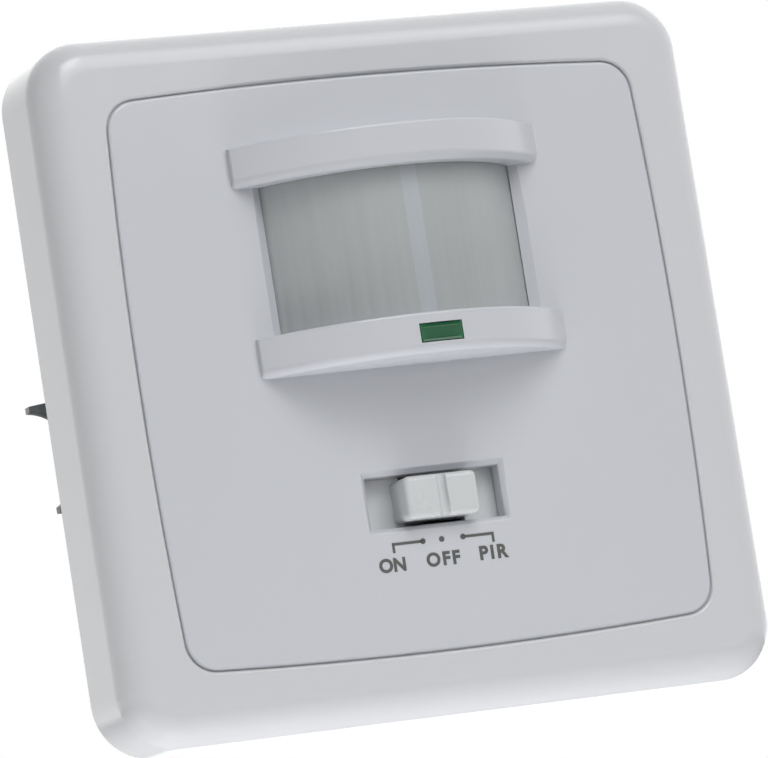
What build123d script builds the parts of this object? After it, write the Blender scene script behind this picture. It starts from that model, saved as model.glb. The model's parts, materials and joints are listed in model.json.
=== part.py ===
from build123d import *
import math
import os

# Flush wall switch with a passive infrared motion sensor.
# X is to the right, Z is up and the front faces -Y. The wall's surface is the plane Y = 0.
# Depths are given as distances forward of the wall, so what lies inside the wall has a negative one.
# All sizes are millimetres.

# Shared clearances
overrun = 1.0
running_gap = 0.05
slide_gap = 0.2
lead_gap = 0.1
seat_gap = 0.1

# Shares that every cross recess screw uses
screw_edge_share = 0.33
screw_recess_length_share = 1.1
screw_recess_width_share = 0.25
screw_recess_depth_share = 0.5

# Outer frame
frame_side = 80.0
frame_depth = 12.0
frame_corner_radius = 6.5
frame_shoulder_radius = 4.0
frame_wall = 2.0
frame_lip_width = 1.6
frame_lip_thickness = 1.2
frame_collar_wall = 1.4
frame_edge_radius = 0.4
frame_step_width = 0.6
frame_step_depth = 0.5
frame_rib_thickness = 1.2
frame_rib_place_share = 0.55
frame_rib_sink = 0.4

# Front cover plate, whose four sides bow outwards
cover_border = 7.0
cover_bow = 0.95
cover_corner_radius = 3.6
cover_gap = 0.12
cover_edge_radius = 0.4
cover_edge_drop = 0.1
cover_crown = 0.6
cover_thickness = 2.0
cover_skirt_wall = 1.4
cover_skirt_end = 3.0
hook_width = 8.0
hook_reach = 1.1
hook_height = 0.9
hook_place_share = 0.5

# Curved bars above and below the lens
bar_radius = 25.5
bar_front = 21.2
bar_half_length = 18.7
bar_height = 4.55
bar_edge_radius = 0.35
bar_lower_radius = 1.1
bar_wall = 1.2

# Lens and its window in the cover
window_low = 3.95
window_high = 21.1
window_half_width = 15.1
cheek_width = 1.6
cheek_drop = 0.95
lens_radius = 20.0
lens_front = 18.7
lens_thickness = 0.6
lens_margin = 0.8
lens_side_run = 0.96
retainer_thickness = 1.5
retainer_rim = 1.6
retainer_ear_width = 5.0
retainer_ear_height = 6.0
retainer_screw_radius = 1.0
retainer_screw_length = 4.0
retainer_head_radius = 1.9
retainer_head_height = 1.1

# Slider recess and knob
recess_width = 17.5
recess_height = 7.0
recess_centre_height = -15.75
recess_slope_width = 0.55
recess_slope_depth = 0.55
recess_edge_radius = 0.3
slider_travel = 2.46
knob_width = 8.8
knob_height = 4.8
knob_front = 14.4
knob_groove_width = 1.2
knob_groove_depth = 0.7
knob_slot_width = 7.4
knob_slot_shift = 0.4
knob_slot_height = 0.5
knob_corner_radius = 0.65
shutter_thickness = 1.0
shutter_overlap = 0.6
rail_width = 1.2
rail_height = 1.6
stem_width = 4.2
stem_depth = 3.4

# Indicator lamp, a flat five by two type
led_width = 5.0
led_height = 2.0
led_length = 7.0
led_window_gap = 0.1
led_lead_side = 0.5
led_lead_spacing = 2.54
led_spacer_wall = 0.9
led_centre_height = 1.6

# Sensor board, inside the wall
sensor_board_inset = 5.0
board_thickness = 1.2
board_gap = 16.4
board_edge_gap = 0.3
lead_stub = 1.0

# Motion detector in its metal can
can_radius = 4.1
can_height = 4.2
can_flange_radius = 4.6
can_flange_height = 0.6
can_wall = 0.4
can_window_width = 4.0
can_window_height = 3.0
can_window_rim = 0.6
can_lead_radius = 0.23
can_lead_circle = 2.54

# Light sensor
light_sensor_radius = 2.5
light_sensor_flat_width = 4.2
light_sensor_height = 2.0
light_sensor_stand = 2.5
light_sensor_offset = 9.5
light_sensor_lead_radius = 0.25
light_sensor_lead_spacing = 3.4

# Slide switch
switch_width = 14.5
switch_height = 6.6
switch_depth = 6.0
switch_wall = 0.4
switch_base_thickness = 0.8
switch_contact_rise = 0.5
carriage_width = 6.0
carriage_depth = 2.4
post_side = 2.0
post_length = 4.0
switch_pin_side = 0.5
switch_pin_spacing = 3.0
switch_pin_columns = 4

# Time and light level trimmers
trimmer_side = 7.0
trimmer_depth = 3.0
trimmer_rotor_radius = 2.6
trimmer_rotor_depth = 1.8
trimmer_rotor_rise = 0.4
trimmer_slot_length = 3.9
trimmer_slot_width = 0.7
trimmer_slot_depth = 0.8
trimmer_place_shares = (0.72, 0.42)

# Small parts on the sensor board
transistor_radius = 2.3
transistor_flat = 1.3
transistor_length = 4.6
transistor_stand = 1.5
transistor_places_shares = ((-0.66, 0.33), (-0.66, 0.60))
resistor_radius = 1.15
resistor_waist_radius = 0.98
resistor_length = 6.3
resistor_cap_length = 1.26
resistor_lead_reach = 0.9
resistor_lead_radius = 0.3
resistor_places_shares = ((0.66, 0.10), (0.66, 0.24), (-0.66, 0.10), (-0.66, -0.04), (0.66, -0.04))
ic_length = 9.9
ic_width = 3.9
ic_thickness = 1.5
ic_pin_reach = 1.0
ic_pin_count = 8
ic_pin_spacing = 1.27
ic_pin_width = 0.42
ic_place_shares = (0.60, -0.38)

# Pins that join the two boards
link_pin_side = 0.64
link_pin_spacing = 2.54
link_pin_count = 5
link_strip_depth = 2.5
link_place_share = 0.88

# Housing that carries the boards
housing_radius = 25.0
housing_half_width = 17.5
housing_wall = 1.6
housing_tail = 25.6
flange_corner_radius = 4.0
flange_back = 2.5
flange_thickness = 2.2
pad_side = 8.0
pillar_radius = 2.4
pillar_angle = 53.7
pillar_web = 1.6
pillar_pilot_radius = 0.9
pillar_pilot_depth = 6.0
board_screw_radius = 1.0
board_screw_length = 5.0
board_screw_head_radius = 2.0
board_screw_head_height = 1.3
rear_cover_thickness = 1.8
spigot_wall = 1.0

# Metal support ring and the screws that hold it
ring_margin = 5.0
ring_thickness = 1.0
ring_corner_radius = 4.0
ring_gap = 0.4
box_screw_spacing = 60.0
box_slot_radius = 1.8
box_slot_length = 7.0
box_screw_head_space = 4.4
ring_screw_inset = 6.65
ring_screw_radius = 1.5
ring_screw_head_radius = 2.8
ring_screw_head_height = 1.7

# Spreader claws
claw_thickness = 1.2
claw_width = 13.0
claw_centre_height = -3.1
claw_pivot_reach = 19.4
claw_pivot_inset = 1.8
claw_screw_run = 4.2
claw_nut_clearance = 2.15
claw_leg_lean = 1.7
claw_leg_depth = 13.2
claw_foot_run = 5.3
claw_foot_depth = 4.0
claw_tooth_length = 3.0
claw_tooth_width = 3.2
claw_tooth_slope = 0.17
claw_tooth_tip = 0.75
claw_tooth_hollow = 0.55
claw_short_tooth = 1.6
claw_bend_radius = 1.6
trunnion_radius = 1.0
claw_lug_thickness = 1.0
claw_lug_margin = 0.95
claw_screw_radius = 1.75
claw_screw_length = 13.0
claw_screw_head_radius = 3.0
claw_screw_head_height = 2.0
claw_nut_side = 5.7
claw_nut_thickness = 2.4
claw_slot_margin = 0.55
claw_screw_access = 0.7

# Power board parts
relay_width = 15.2
relay_height = 19.0
relay_depth = 15.0
relay_base_depth = 1.2
relay_corner_radius = 0.6
relay_pin_inset = 2.5
film_width = 8.4
film_height = 18.0
film_depth = 13.0
film_corner_radius = 0.8
film_pin_inset = 1.7
part_spacing = 1.4
relay_low_share = -0.26
large_can_radius = 4.0
large_can_length = 12.0
small_can_radius = 3.15
small_can_length = 11.0
can_bead_depth = 0.35
can_bead_place_share = 0.5
can_pin_place_share = 0.33
varistor_radius = 3.7
varistor_thickness = 3.6
varistor_edge_radius = 0.9
diode_radius = 1.35
diode_length = 5.2
diode_row_shares = (-0.74, -0.87)
fuse_radius = 1.6
fuse_length = 8.5
fuse_edge_radius = 0.5
component_lead_radius = 0.35
component_lead_bend = 0.6

# Terminal block
terminal_spacing = 7.62
terminal_count = 3
terminal_end_wall = 1.2
terminal_height = 11.0
terminal_depth = 12.2
terminal_foot = 1.4
terminal_foot_radius = 0.8
terminal_edge_radius = 0.4
terminal_partition = 2.0
terminal_side_wall = 2.2
terminal_lid = 2.0
wire_bore_radius = 1.6
cage_wall = 0.8
cage_window_depth = 3.3
cage_gap = 0.15
cage_travel = 2.0
contact_thickness = 0.8
terminal_screw_radius = 1.5
terminal_head_radius = 2.0
terminal_head_height = 1.5
terminal_well_gap = 0.15
terminal_slot_width = 0.6
terminal_slot_depth = 0.8
cage_head_wall = 1.0


# Places worked out from the sizes above
cover_half = frame_side / 2 - cover_border
ring_side = frame_side - 2 * ring_margin
bar_axis = bar_front - bar_radius
lens_axis = lens_front - lens_radius
lens_half_width = window_half_width + lens_margin
lower_bar_low = window_low - bar_height
upper_bar_low = window_high
window_centre = (window_low + window_high) / 2
cover_line = frame_depth - cover_edge_drop
cover_back = frame_depth - cover_thickness
cover_centre = cover_line + cover_crown
skirt_inset = frame_lip_width + slide_gap
flange_half = cover_half - cover_bow - skirt_inset - cover_skirt_wall - slide_gap
ring_screw_place = flange_half - ring_screw_inset
flange_front = flange_back + flange_thickness
sensor_board_front = -sensor_board_inset
sensor_board_back = sensor_board_front - board_thickness
power_board_front = sensor_board_back - board_gap
power_board_back = power_board_front - board_thickness
housing_inner_radius = housing_radius - housing_wall
housing_inner_half_width = housing_half_width - housing_wall
board_radius = housing_inner_radius - board_edge_gap
board_half_width = housing_inner_half_width - board_edge_gap
shutter_front = cover_back - slide_gap
shutter_back = shutter_front - shutter_thickness
switch_front = sensor_board_front + switch_depth
post_front = switch_front + post_length
terminal_front = power_board_back - terminal_foot
terminal_rear = terminal_front - terminal_depth
claw_screw_reach = claw_pivot_reach + claw_screw_run
claw_bend_reach = claw_screw_reach + claw_nut_side / 2 + claw_nut_clearance
claw_elbow_reach = claw_bend_reach + claw_leg_lean
claw_elbow_inset = claw_pivot_inset + claw_leg_depth
claw_tip_reach = claw_elbow_reach + claw_foot_run
claw_tip_inset = claw_elbow_inset + claw_foot_depth


# Drawing helpers
def slab(outline, back, front):
    """Extrudes an outline, drawn in X and Z, between two distances forward of the wall."""
    return extrude(Plane.XZ.offset(back) * outline, amount=front - back)


def rise(outline, low, high):
    """Extrudes an outline, drawn in X and Y, between two heights."""
    return extrude(Plane.XY.offset(low) * outline, amount=high - low)


def block(x_low, x_high, z_low, z_high, back, front):
    """A plain block between pairs of coordinates."""
    centre = Pos((x_low + x_high) / 2, (z_low + z_high) / 2)
    return slab(centre * Rectangle(x_high - x_low, z_high - z_low), back, front)


def pin(radius, x, z, back, front):
    """A round pin that lies along the depth."""
    return slab(Pos(x, z) * Circle(radius), back, front)


def rod_along_x(radius, x_low, x_high, z, forward):
    """A round rod that lies along X."""
    return Pos((x_low + x_high) / 2, -forward, z) * Rot(0, 90, 0) * Cylinder(radius, x_high - x_low)


def rod_along_z(radius, x, z_low, z_high, forward):
    """A round rod that stands along Z."""
    return Pos(x, -forward, (z_low + z_high) / 2) * Cylinder(radius, z_high - z_low)


def half_turn(shape):
    """Turns a shape half round the depth axis, as the right claw is to the left one."""
    return Rot(0, 180, 0) * shape


def bowed_square(half, bow, radius):
    """A square with rounded corners whose sides bow outwards."""
    corner = half - bow
    corners = [(-corner, corner), (corner, corner), (corner, -corner), (-corner, -corner)]
    middles = [(0, half), (half, 0), (0, -half), (-half, 0)]
    sides = [ThreePointArc(corners[i], middles[i], corners[(i + 1) % 4]) for i in range(4)]
    face = make_face(Curve() + sides)
    return fillet(face.vertices(), radius)


def cover_outline(grow=0):
    """The cover's outline, grown or shrunk by the same amount all round."""
    return bowed_square(cover_half + grow, cover_bow, cover_corner_radius + grow / 2)


def housing_outline(grow=0):
    """The housing's outline: a circle with a flat on the left and the right."""
    half_width = housing_half_width + grow
    radius = housing_radius + grow
    return Circle(radius) & Rectangle(2 * half_width, 2 * radius)


def board_outline():
    """Both circuit boards fill the housing, less a small gap."""
    return Circle(board_radius) & Rectangle(2 * board_half_width, 2 * board_radius)


def arc_column(radius, axis, half_width, low, high, back):
    """A column whose front is part of a cylinder about a vertical axis."""
    across = Pos(0, -(back + radius)) * Rectangle(2 * half_width, 2 * radius)
    return rise((Pos(0, -axis) * Circle(radius)) & across, low, high)


def cross_screw(x, z, head_back, head_front, head_radius, shank_radius, shank_end):
    """A pan head screw with a cross recess, whose head is at the front."""
    head_height = head_front - head_back
    head = pin(head_radius, x, z, head_back, head_front)
    head = fillet(head.edges().sort_by(Axis.Y)[0], head_height * screw_edge_share)
    shank = pin(shank_radius, x, z, shank_end, head_back)
    slot = Rectangle(head_radius * screw_recess_length_share, head_radius * screw_recess_width_share)
    cross = Pos(x, z) * (slot + Rot(0, 0, 90) * slot)
    depth = head_height * screw_recess_depth_share
    return head + shank - slab(cross, head_front - depth, head_front + overrun)


# Frame and cover
def outer_frame():
    """Hollow square frame with rounded shoulders, a collar and an inner lip that the cover rests on."""
    shell = slab(RectangleRounded(frame_side, frame_side, frame_corner_radius), 0, frame_depth)
    shell = fillet(shell.edges().group_by(Axis.Y)[0], frame_shoulder_radius)
    inner_side = frame_side - 2 * frame_wall
    inner_radius = frame_corner_radius - frame_wall
    cavity_front = frame_depth - frame_wall
    cavity = slab(RectangleRounded(inner_side, inner_side, inner_radius), 0, cavity_front)
    cavity = fillet(cavity.edges().group_by(Axis.Y)[0], frame_shoulder_radius - frame_wall)
    collar_back = cover_back - frame_lip_thickness
    collar = slab(cover_outline(cover_gap + frame_collar_wall), collar_back, cavity_front)
    mouth = slab(cover_outline(cover_gap), frame_step_front(), frame_depth + overrun)
    mouth += slab(cover_outline(cover_gap - frame_step_width), cover_back, frame_depth)
    throat = slab(cover_outline(-frame_lip_width), -overrun, cover_back + overrun)
    body = shell - cavity + collar + (frame_ribs() & shell) - mouth - throat
    rim = body.edges().filter_by_position(Axis.Y, -frame_depth, -frame_depth)
    reach = cover_half + cover_gap + overrun
    return fillet([e for e in rim if max(abs(e.center().X), abs(e.center().Z)) < reach], frame_edge_radius)


def frame_step_front():
    """Forward distance of the frame's step, which closes the groove round the cover."""
    return frame_depth - frame_step_depth


def frame_ribs():
    """Short ribs between the frame's outer wall and its collar, two on each side."""
    inner = cover_half + cover_gap
    outer = frame_side / 2 - frame_wall / 2
    place = cover_half * frame_rib_place_share
    half = frame_rib_thickness / 2
    front = frame_depth - frame_wall + frame_rib_sink
    back = cover_back - frame_lip_thickness
    ribs = [block(inner, outer, side * place - half, side * place + half, back, front) for side in (-1, 1)]
    pair = ribs[0] + ribs[1]
    return pair + Rot(0, 90, 0) * pair + Rot(0, 180, 0) * pair + Rot(0, 270, 0) * pair


def crowned_plate():
    """The cover's plate, whose front is crowned both ways and so has soft diagonal ridges."""
    arc = ThreePointArc((-cover_half, -cover_line), (0, -cover_centre), (cover_half, -cover_line))
    back = Polyline((cover_half, -cover_line), (cover_half, -cover_back), (-cover_half, -cover_back),
                    (-cover_half, -cover_line))
    crown = rise(make_face(arc + back), -cover_half, cover_half)
    plate = slab(cover_outline(), cover_back, cover_centre + overrun) & crown & Rot(0, 90, 0) * crown
    plate = fillet(cover_rim(plate), cover_edge_radius)
    border = cover_outline(overrun) - cover_outline(-frame_step_width)
    return plate - slab(border, cover_back - overrun, frame_step_front() + seat_gap)


def cover_rim(plate):
    """The edges round the front of the cover's plate."""
    inner = cover_half - cover_bow - cover_corner_radius
    front = [e for e in plate.edges() if e.center().Y < -(cover_line - cover_edge_drop)]
    return [e for e in front if max(abs(e.center().X), abs(e.center().Z)) > inner]


def visor_bar(low):
    """One of the two curved bars, with a wide rounding below and eased edges elsewhere."""
    bar = arc_column(bar_radius, bar_axis, bar_half_length, low, low + bar_height, cover_back)
    lower_edge = [e for e in bar_front_edges(bar) if abs(e.center().Z - low) < running_gap]
    bar = fillet(lower_edge, bar_lower_radius)
    middle = low + bar_height / 2
    others = [e for e in bar_front_edges(bar) if e.center().Z > middle - bar_edge_radius]
    return fillet(others, bar_edge_radius)


def bar_front_edges(bar):
    """The edges of a bar that lie forward of the plate."""
    return [e for e in bar.edges() if e.center().Y < -cover_centre]


def bar_pocket(low, high):
    """The hollow behind a bar, open to the back."""
    radius = bar_radius - bar_wall
    half = bar_half_length - bar_wall
    return arc_column(radius, bar_axis, half, low, high, cover_back - overrun)


def cheek_cut(side):
    """The sloping strip beside the lens, between the bars."""
    inner = side * window_half_width
    outer = side * (window_half_width + cheek_width)
    top = cover_centre
    points = [(inner, -(top - cheek_drop)), (outer, -top), (outer, -(top + overrun)), (inner, -(top + overrun))]
    return rise(make_face(Polyline(*points, close=True)), window_low, window_high)


def lens_pocket():
    """Room behind the window for the lens and its retainer."""
    half = lens_half_width + seat_gap
    low = window_low - lens_margin - seat_gap
    high = window_high + lens_margin + seat_gap
    return arc_column(lens_radius + seat_gap, lens_axis, half, low, high, -overrun)


def recess_cut():
    """The slider's recess, with a sloping rim round its mouth and straight walls behind it."""
    rim_front = cover_front_at(recess_centre_height)
    rim_back = rim_front - recess_slope_depth
    slope = math.degrees(math.atan(recess_slope_width / recess_slope_depth))
    inner_width = recess_width - 2 * recess_slope_width
    inner_height = recess_height - 2 * recess_slope_width
    inner = Pos(0, recess_centre_height) * Rectangle(inner_width, inner_height)
    rim = extrude(Plane.XZ.offset(rim_back) * inner, amount=2 * recess_slope_depth, taper=-slope)
    return rim + slab(inner, cover_back - overrun, rim_back)


def recess_rim(body):
    """The edges between the plate and the recess's sloping rim."""
    half_width = recess_width / 2 + recess_slope_width
    half_height = recess_height / 2 + recess_slope_width
    front = [e for e in body.edges() if e.center().Y < -(cover_line - cover_edge_drop)]
    near = [e for e in front if abs(e.center().Z - recess_centre_height) < half_height]
    return [e for e in near if abs(e.center().X) < half_width]


def cover_front_at(height):
    """How far forward the crowned plate lies at a height on its middle line."""
    radius = (cover_half ** 2 + cover_crown ** 2) / (2 * cover_crown)
    return cover_centre - radius + math.sqrt(radius ** 2 - height ** 2)


def slider_rails():
    """Two rails behind the cover that guide the slider's shutter."""
    half = shutter_half_width() + slider_travel
    inner = shutter_half_height() + slide_gap
    back = cover_back - rail_height
    rails = []
    for side in (-1, 1):
        near = recess_centre_height + side * inner
        far = near + side * rail_width
        rails.append(block(-half, half, min(near, far), max(near, far), back, cover_back))
    return rails[0] + rails[1]


def snap_hooks():
    """Four hooks inside the skirt that catch behind the housing's flange."""
    outer = cover_half - cover_bow - skirt_inset
    inner = flange_half - hook_reach / 2
    back = flange_back - slide_gap - hook_height
    hooks = Part()
    for side in (-1, 1):
        for place in (-1, 1):
            x = place * cover_half * hook_place_share
            leg_low = flange_half + slide_gap
            low, high = sorted((side * leg_low, side * outer))
            hooks += block(x - hook_width / 2, x + hook_width / 2, low, high, back, cover_skirt_end + overrun)
            low, high = sorted((side * inner, side * outer))
            hooks += block(x - hook_width / 2, x + hook_width / 2, low, high, back, back + hook_height)
    return hooks


def retainer_places():
    """Heights and sides of the two screws that hold the lens retainer."""
    reach = lens_half_width + retainer_ear_width / 2 + seat_gap
    return [(side * reach, window_centre) for side in (-1, 1)]


def front_cover():
    """Centre cover with its skirt, curved bars, lens window, lamp window and slider recess."""
    skirt = slab(cover_outline(-skirt_inset), cover_skirt_end, cover_back)
    skirt -= slab(cover_outline(-skirt_inset - cover_skirt_wall), cover_skirt_end - overrun, cover_back)
    for side in (-1, 1):
        z = side * box_screw_spacing / 2
        half = box_screw_head_space
        skirt -= block(-half, half, z - half, z + half, cover_skirt_end - overrun, cover_back - frame_wall)
    body = crowned_plate() + skirt + visor_bar(lower_bar_low) + visor_bar(upper_bar_low) + snap_hooks()
    body += slider_rails()
    for x, z in retainer_places():
        body += pin(retainer_head_radius, x, z, retainer_ear_front(), cover_back)
    half = window_half_width
    body -= block(-half, half, window_low, window_high, -overrun, bar_front + overrun)
    body -= cheek_cut(-1)
    body -= cheek_cut(1)
    body -= bar_pocket(lower_bar_low + bar_wall, window_low - lens_margin - bar_wall)
    body -= bar_pocket(window_high + lens_margin + bar_wall, upper_bar_low + bar_height - bar_wall)
    body -= lens_pocket()
    body = fillet(recess_rim(body - recess_cut()), recess_edge_radius)
    half_width = led_width / 2 + led_window_gap
    half_height = led_height / 2 + led_window_gap
    body -= block(-half_width, half_width, led_centre_height - half_height,
                  led_centre_height + half_height, cover_back - overrun, bar_front + overrun)
    for x, z in retainer_places():
        pilot_end = retainer_ear_front() + retainer_screw_length - retainer_thickness
        body -= pin(retainer_screw_radius - running_gap, x, z, retainer_ear_front() - overrun, pilot_end)
    return body


# Lens, its retainer and screws
def fresnel_lens():
    """Thin curved sheet, held behind the window by its margin."""
    low = window_low - lens_margin
    high = window_high + lens_margin
    outer = arc_column(lens_radius, lens_axis, lens_half_width, low, high, lens_side_back())
    inner = arc_column(lens_radius - lens_thickness, lens_axis, lens_half_width + overrun, low - overrun,
                       high + overrun, lens_side_back() - lens_radius)
    return outer - inner


def lens_side_back():
    """How far forward the lens's side edges end."""
    return lens_axis + math.sqrt(lens_radius ** 2 - lens_half_width ** 2) - lens_side_run


def retainer_ear_front():
    """Forward distance of the retainer's flat ears."""
    return cover_back - retainer_thickness


def lens_retainer():
    """Curved frame behind the lens with two flat ears."""
    outer_radius = lens_radius - lens_thickness - seat_gap
    inner_radius = outer_radius - retainer_thickness
    low = window_low - lens_margin
    high = window_high + lens_margin
    back = retainer_ear_front() - retainer_thickness
    band = arc_column(outer_radius, lens_axis, lens_half_width, low, high, back)
    half = lens_half_width - retainer_rim
    band -= arc_column(inner_radius, lens_axis, half, low - overrun, high + overrun, back - lens_radius)
    band -= block(-half, half, low + retainer_rim, high - retainer_rim, back - overrun, lens_front)
    ear_outer = lens_half_width + retainer_ear_width + seat_gap
    for side in (-1, 1):
        x_low, x_high = sorted((side * (lens_half_width - retainer_rim), side * ear_outer))
        band += block(x_low, x_high, window_centre - retainer_ear_height / 2,
                      window_centre + retainer_ear_height / 2, back, retainer_ear_front())
    for x, z in retainer_places():
        band -= pin(retainer_screw_radius + lead_gap, x, z, back - overrun, retainer_ear_front() + overrun)
    return band


def rear_screw(x, z, head_front, head_height, head_radius, shank_radius, shank_end):
    """A cross recess screw whose head is at the back."""
    flipped = cross_screw(x, -z, -head_front, head_height - head_front, head_radius, shank_radius, -shank_end)
    return Rot(180, 0, 0) * flipped


def retainer_screws():
    """Two small screws, driven from behind the cover."""
    seat = retainer_ear_front() - retainer_thickness
    group = Part()
    for x, z in retainer_places():
        group += rear_screw(x, z, seat, retainer_head_height, retainer_head_radius,
                            retainer_screw_radius - running_gap, seat + retainer_screw_length - running_gap)
    return group


# Slider knob
def shutter_half_width():
    """The shutter covers the recess at both ends of the travel."""
    return recess_width / 2 - recess_slope_width + slider_travel + shutter_overlap


def shutter_half_height():
    """The shutter is a little taller than the recess's floor."""
    return recess_height / 2 - recess_slope_width + shutter_overlap


def knob_valley():
    """The outline of the round valley between the finger pads."""
    half = knob_groove_width / 2
    top = -knob_front - running_gap
    curve = ThreePointArc((-half, top), (0, -knob_front + knob_groove_depth), (half, top))
    return make_face(curve + Line((half, top), (-half, top)))


def slider_knob():
    """Two finger pads with a groove between them, on a shutter with a stem behind it."""
    z = recess_centre_height
    half = knob_width / 2
    pads = block(-half, half, z - knob_height / 2, z + knob_height / 2, shutter_front, knob_front)
    front_edges = [e for e in pads.edges() if e.center().Y < -shutter_front]
    pads = fillet(front_edges, knob_corner_radius)
    pads -= rise(knob_valley(), z - knob_height, z + knob_height)
    shutter = block(-shutter_half_width(), shutter_half_width(), z - shutter_half_height(),
                    z + shutter_half_height(), shutter_back, shutter_front)
    for side in (-1, 1):
        near = z + side * knob_height / 2
        low, high = sorted((near, near + side * knob_slot_height))
        slot_half = knob_slot_width / 2
        shutter -= block(knob_slot_shift - slot_half, knob_slot_shift + slot_half, low, high,
                         shutter_back - overrun, shutter_front)
    stem_back = switch_front + slide_gap
    stem = block(-stem_width / 2, stem_width / 2, z - stem_depth / 2, z + stem_depth / 2, stem_back, shutter_back)
    socket = block(-post_side / 2, post_side / 2, z - post_side / 2, z + post_side / 2, stem_back, post_front)
    return pads + shutter + stem - socket


# Slide switch
def slide_switch_case():
    """Folded metal case with a slot for the post."""
    z = recess_centre_height
    back = sensor_board_front + switch_base_thickness
    half = switch_width / 2
    half_height = switch_height / 2
    case = block(-half, half, z - half_height, z + half_height, back, switch_front)
    case -= block(-half + switch_wall, half - switch_wall, z - half_height + switch_wall,
                  z + half_height - switch_wall, back - overrun, switch_front - switch_wall)
    slot_half = post_side / 2 + slider_travel + slide_gap
    slot_half_height = post_side / 2 + slide_gap
    return case - block(-slot_half, slot_half, z - slot_half_height, z + slot_half_height, back,
                        switch_front + overrun)


def slide_switch_carriage():
    """Sliding block with the post that the knob's stem takes hold of."""
    z = recess_centre_height
    half_height = switch_height / 2 - switch_wall - slide_gap
    front = switch_front - switch_wall - running_gap
    carriage = block(-carriage_width / 2, carriage_width / 2, z - half_height, z + half_height,
                     front - carriage_depth, front)
    return carriage + block(-post_side / 2, post_side / 2, z - post_side / 2, z + post_side / 2, front, post_front)


def switch_pin_places():
    """Two rows of four pins."""
    row = switch_height / 2 - switch_wall - switch_pin_side
    middle = (switch_pin_columns - 1) / 2
    columns = [(column - middle) * switch_pin_spacing for column in range(switch_pin_columns)]
    return [(x, recess_centre_height + side * row) for x in columns for side in (-1, 1)]


def slide_switch_base():
    """Insulating base with its contact pins."""
    z = recess_centre_height
    base = block(-switch_width / 2, switch_width / 2, z - switch_height / 2, z + switch_height / 2,
                 sensor_board_front, sensor_board_front + switch_base_thickness)
    half = switch_pin_side / 2
    contact_front = sensor_board_front + switch_base_thickness + switch_contact_rise
    for x, pin_z in switch_pin_places():
        base += block(x - half, x + half, pin_z - half, pin_z + half, sensor_board_back - lead_stub, contact_front)
    return base


# Indicator lamp
def led_leads():
    """Places of the lamp's two leads."""
    return [(side * led_lead_spacing / 2, led_centre_height) for side in (-1, 1)]


def indicator_led():
    """Flat lens with a slightly domed front and two leads that reach the board."""
    back = bar_front - led_length
    body = block(-led_width / 2, led_width / 2, led_centre_height - led_height / 2,
                 led_centre_height + led_height / 2, back, bar_front - seat_gap)
    half = led_lead_side / 2
    for x, z in led_leads():
        body += block(x - half, x + half, z - half, z + half, sensor_board_back - lead_stub, back)
    return body


def led_spacer():
    """Sleeve that holds the lamp at the right height over the board."""
    half_width = led_width / 2 + seat_gap
    half_height = led_height / 2 + led_spacer_wall - seat_gap
    spacer = block(-half_width, half_width, led_centre_height - half_height, led_centre_height + half_height,
                   sensor_board_front, cover_back - seat_gap)
    half = led_lead_side / 2 + lead_gap
    for x, z in led_leads():
        spacer -= block(x - half, x + half, z - half, z + half, sensor_board_front - overrun, cover_back + overrun)
    return spacer


# Motion detector and light sensor
def can_lead_places():
    """Three leads on a circle under the can."""
    angles = [math.radians(90 * step) for step in range(3)]
    return [(can_lead_circle * math.cos(a), window_centre + can_lead_circle * math.sin(a)) for a in angles]


def pir_sensor():
    """Round metal can with a square window, a flange and three leads."""
    front = sensor_board_front + can_height
    can = pin(can_radius, 0, window_centre, sensor_board_front, front)
    can = fillet(can.edges().sort_by(Axis.Y)[0], can_wall)
    can += pin(can_flange_radius, 0, window_centre, sensor_board_front, sensor_board_front + can_flange_height)
    room = can_radius - can_wall
    can -= pin(room, 0, window_centre, sensor_board_front + can_flange_height, front - can_wall)
    can -= block(-can_window_width / 2, can_window_width / 2, window_centre - can_window_height / 2,
                 window_centre + can_window_height / 2, front - can_wall - overrun, front + overrun)
    for x, z in can_lead_places():
        can += pin(can_lead_radius, x, z, sensor_board_back - lead_stub, sensor_board_front)
    return can


def pir_window():
    """Infrared filter, glued behind the can's window."""
    front = sensor_board_front + can_height - can_wall
    half_width = can_window_width / 2 + can_window_rim
    half_height = can_window_height / 2 + can_window_rim
    return block(-half_width, half_width, window_centre - half_height, window_centre + half_height,
                 front - can_wall, front)


def light_sensor_leads():
    """Places of the light sensor's two leads."""
    half = light_sensor_lead_spacing / 2
    return [(light_sensor_offset, window_centre + side * half) for side in (-1, 1)]


def light_sensor():
    """Photoresistor disc on two leads, with flats on both sides."""
    back = sensor_board_front + light_sensor_stand
    flat = Rectangle(light_sensor_flat_width, 2 * light_sensor_radius)
    outline = Pos(light_sensor_offset, window_centre) * (Circle(light_sensor_radius) & flat)
    disc = slab(outline, back, back + light_sensor_height)
    for x, z in light_sensor_leads():
        disc += pin(light_sensor_lead_radius, x, z, sensor_board_back - lead_stub, back)
    return disc


# Trimmers
def trimmer_place(side):
    """Centre of the left or the right trimmer."""
    return side * board_half_width * trimmer_place_shares[0], -board_radius * trimmer_place_shares[1]


def trimmer_body(side):
    """Square trimmer body with a round well for its rotor."""
    x, z = trimmer_place(side)
    half = trimmer_side / 2
    front = sensor_board_front + trimmer_depth
    body = block(x - half, x + half, z - half, z + half, sensor_board_front, front)
    return body - pin(trimmer_rotor_radius + running_gap, x, z, front - trimmer_rotor_depth, front + overrun)


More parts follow.
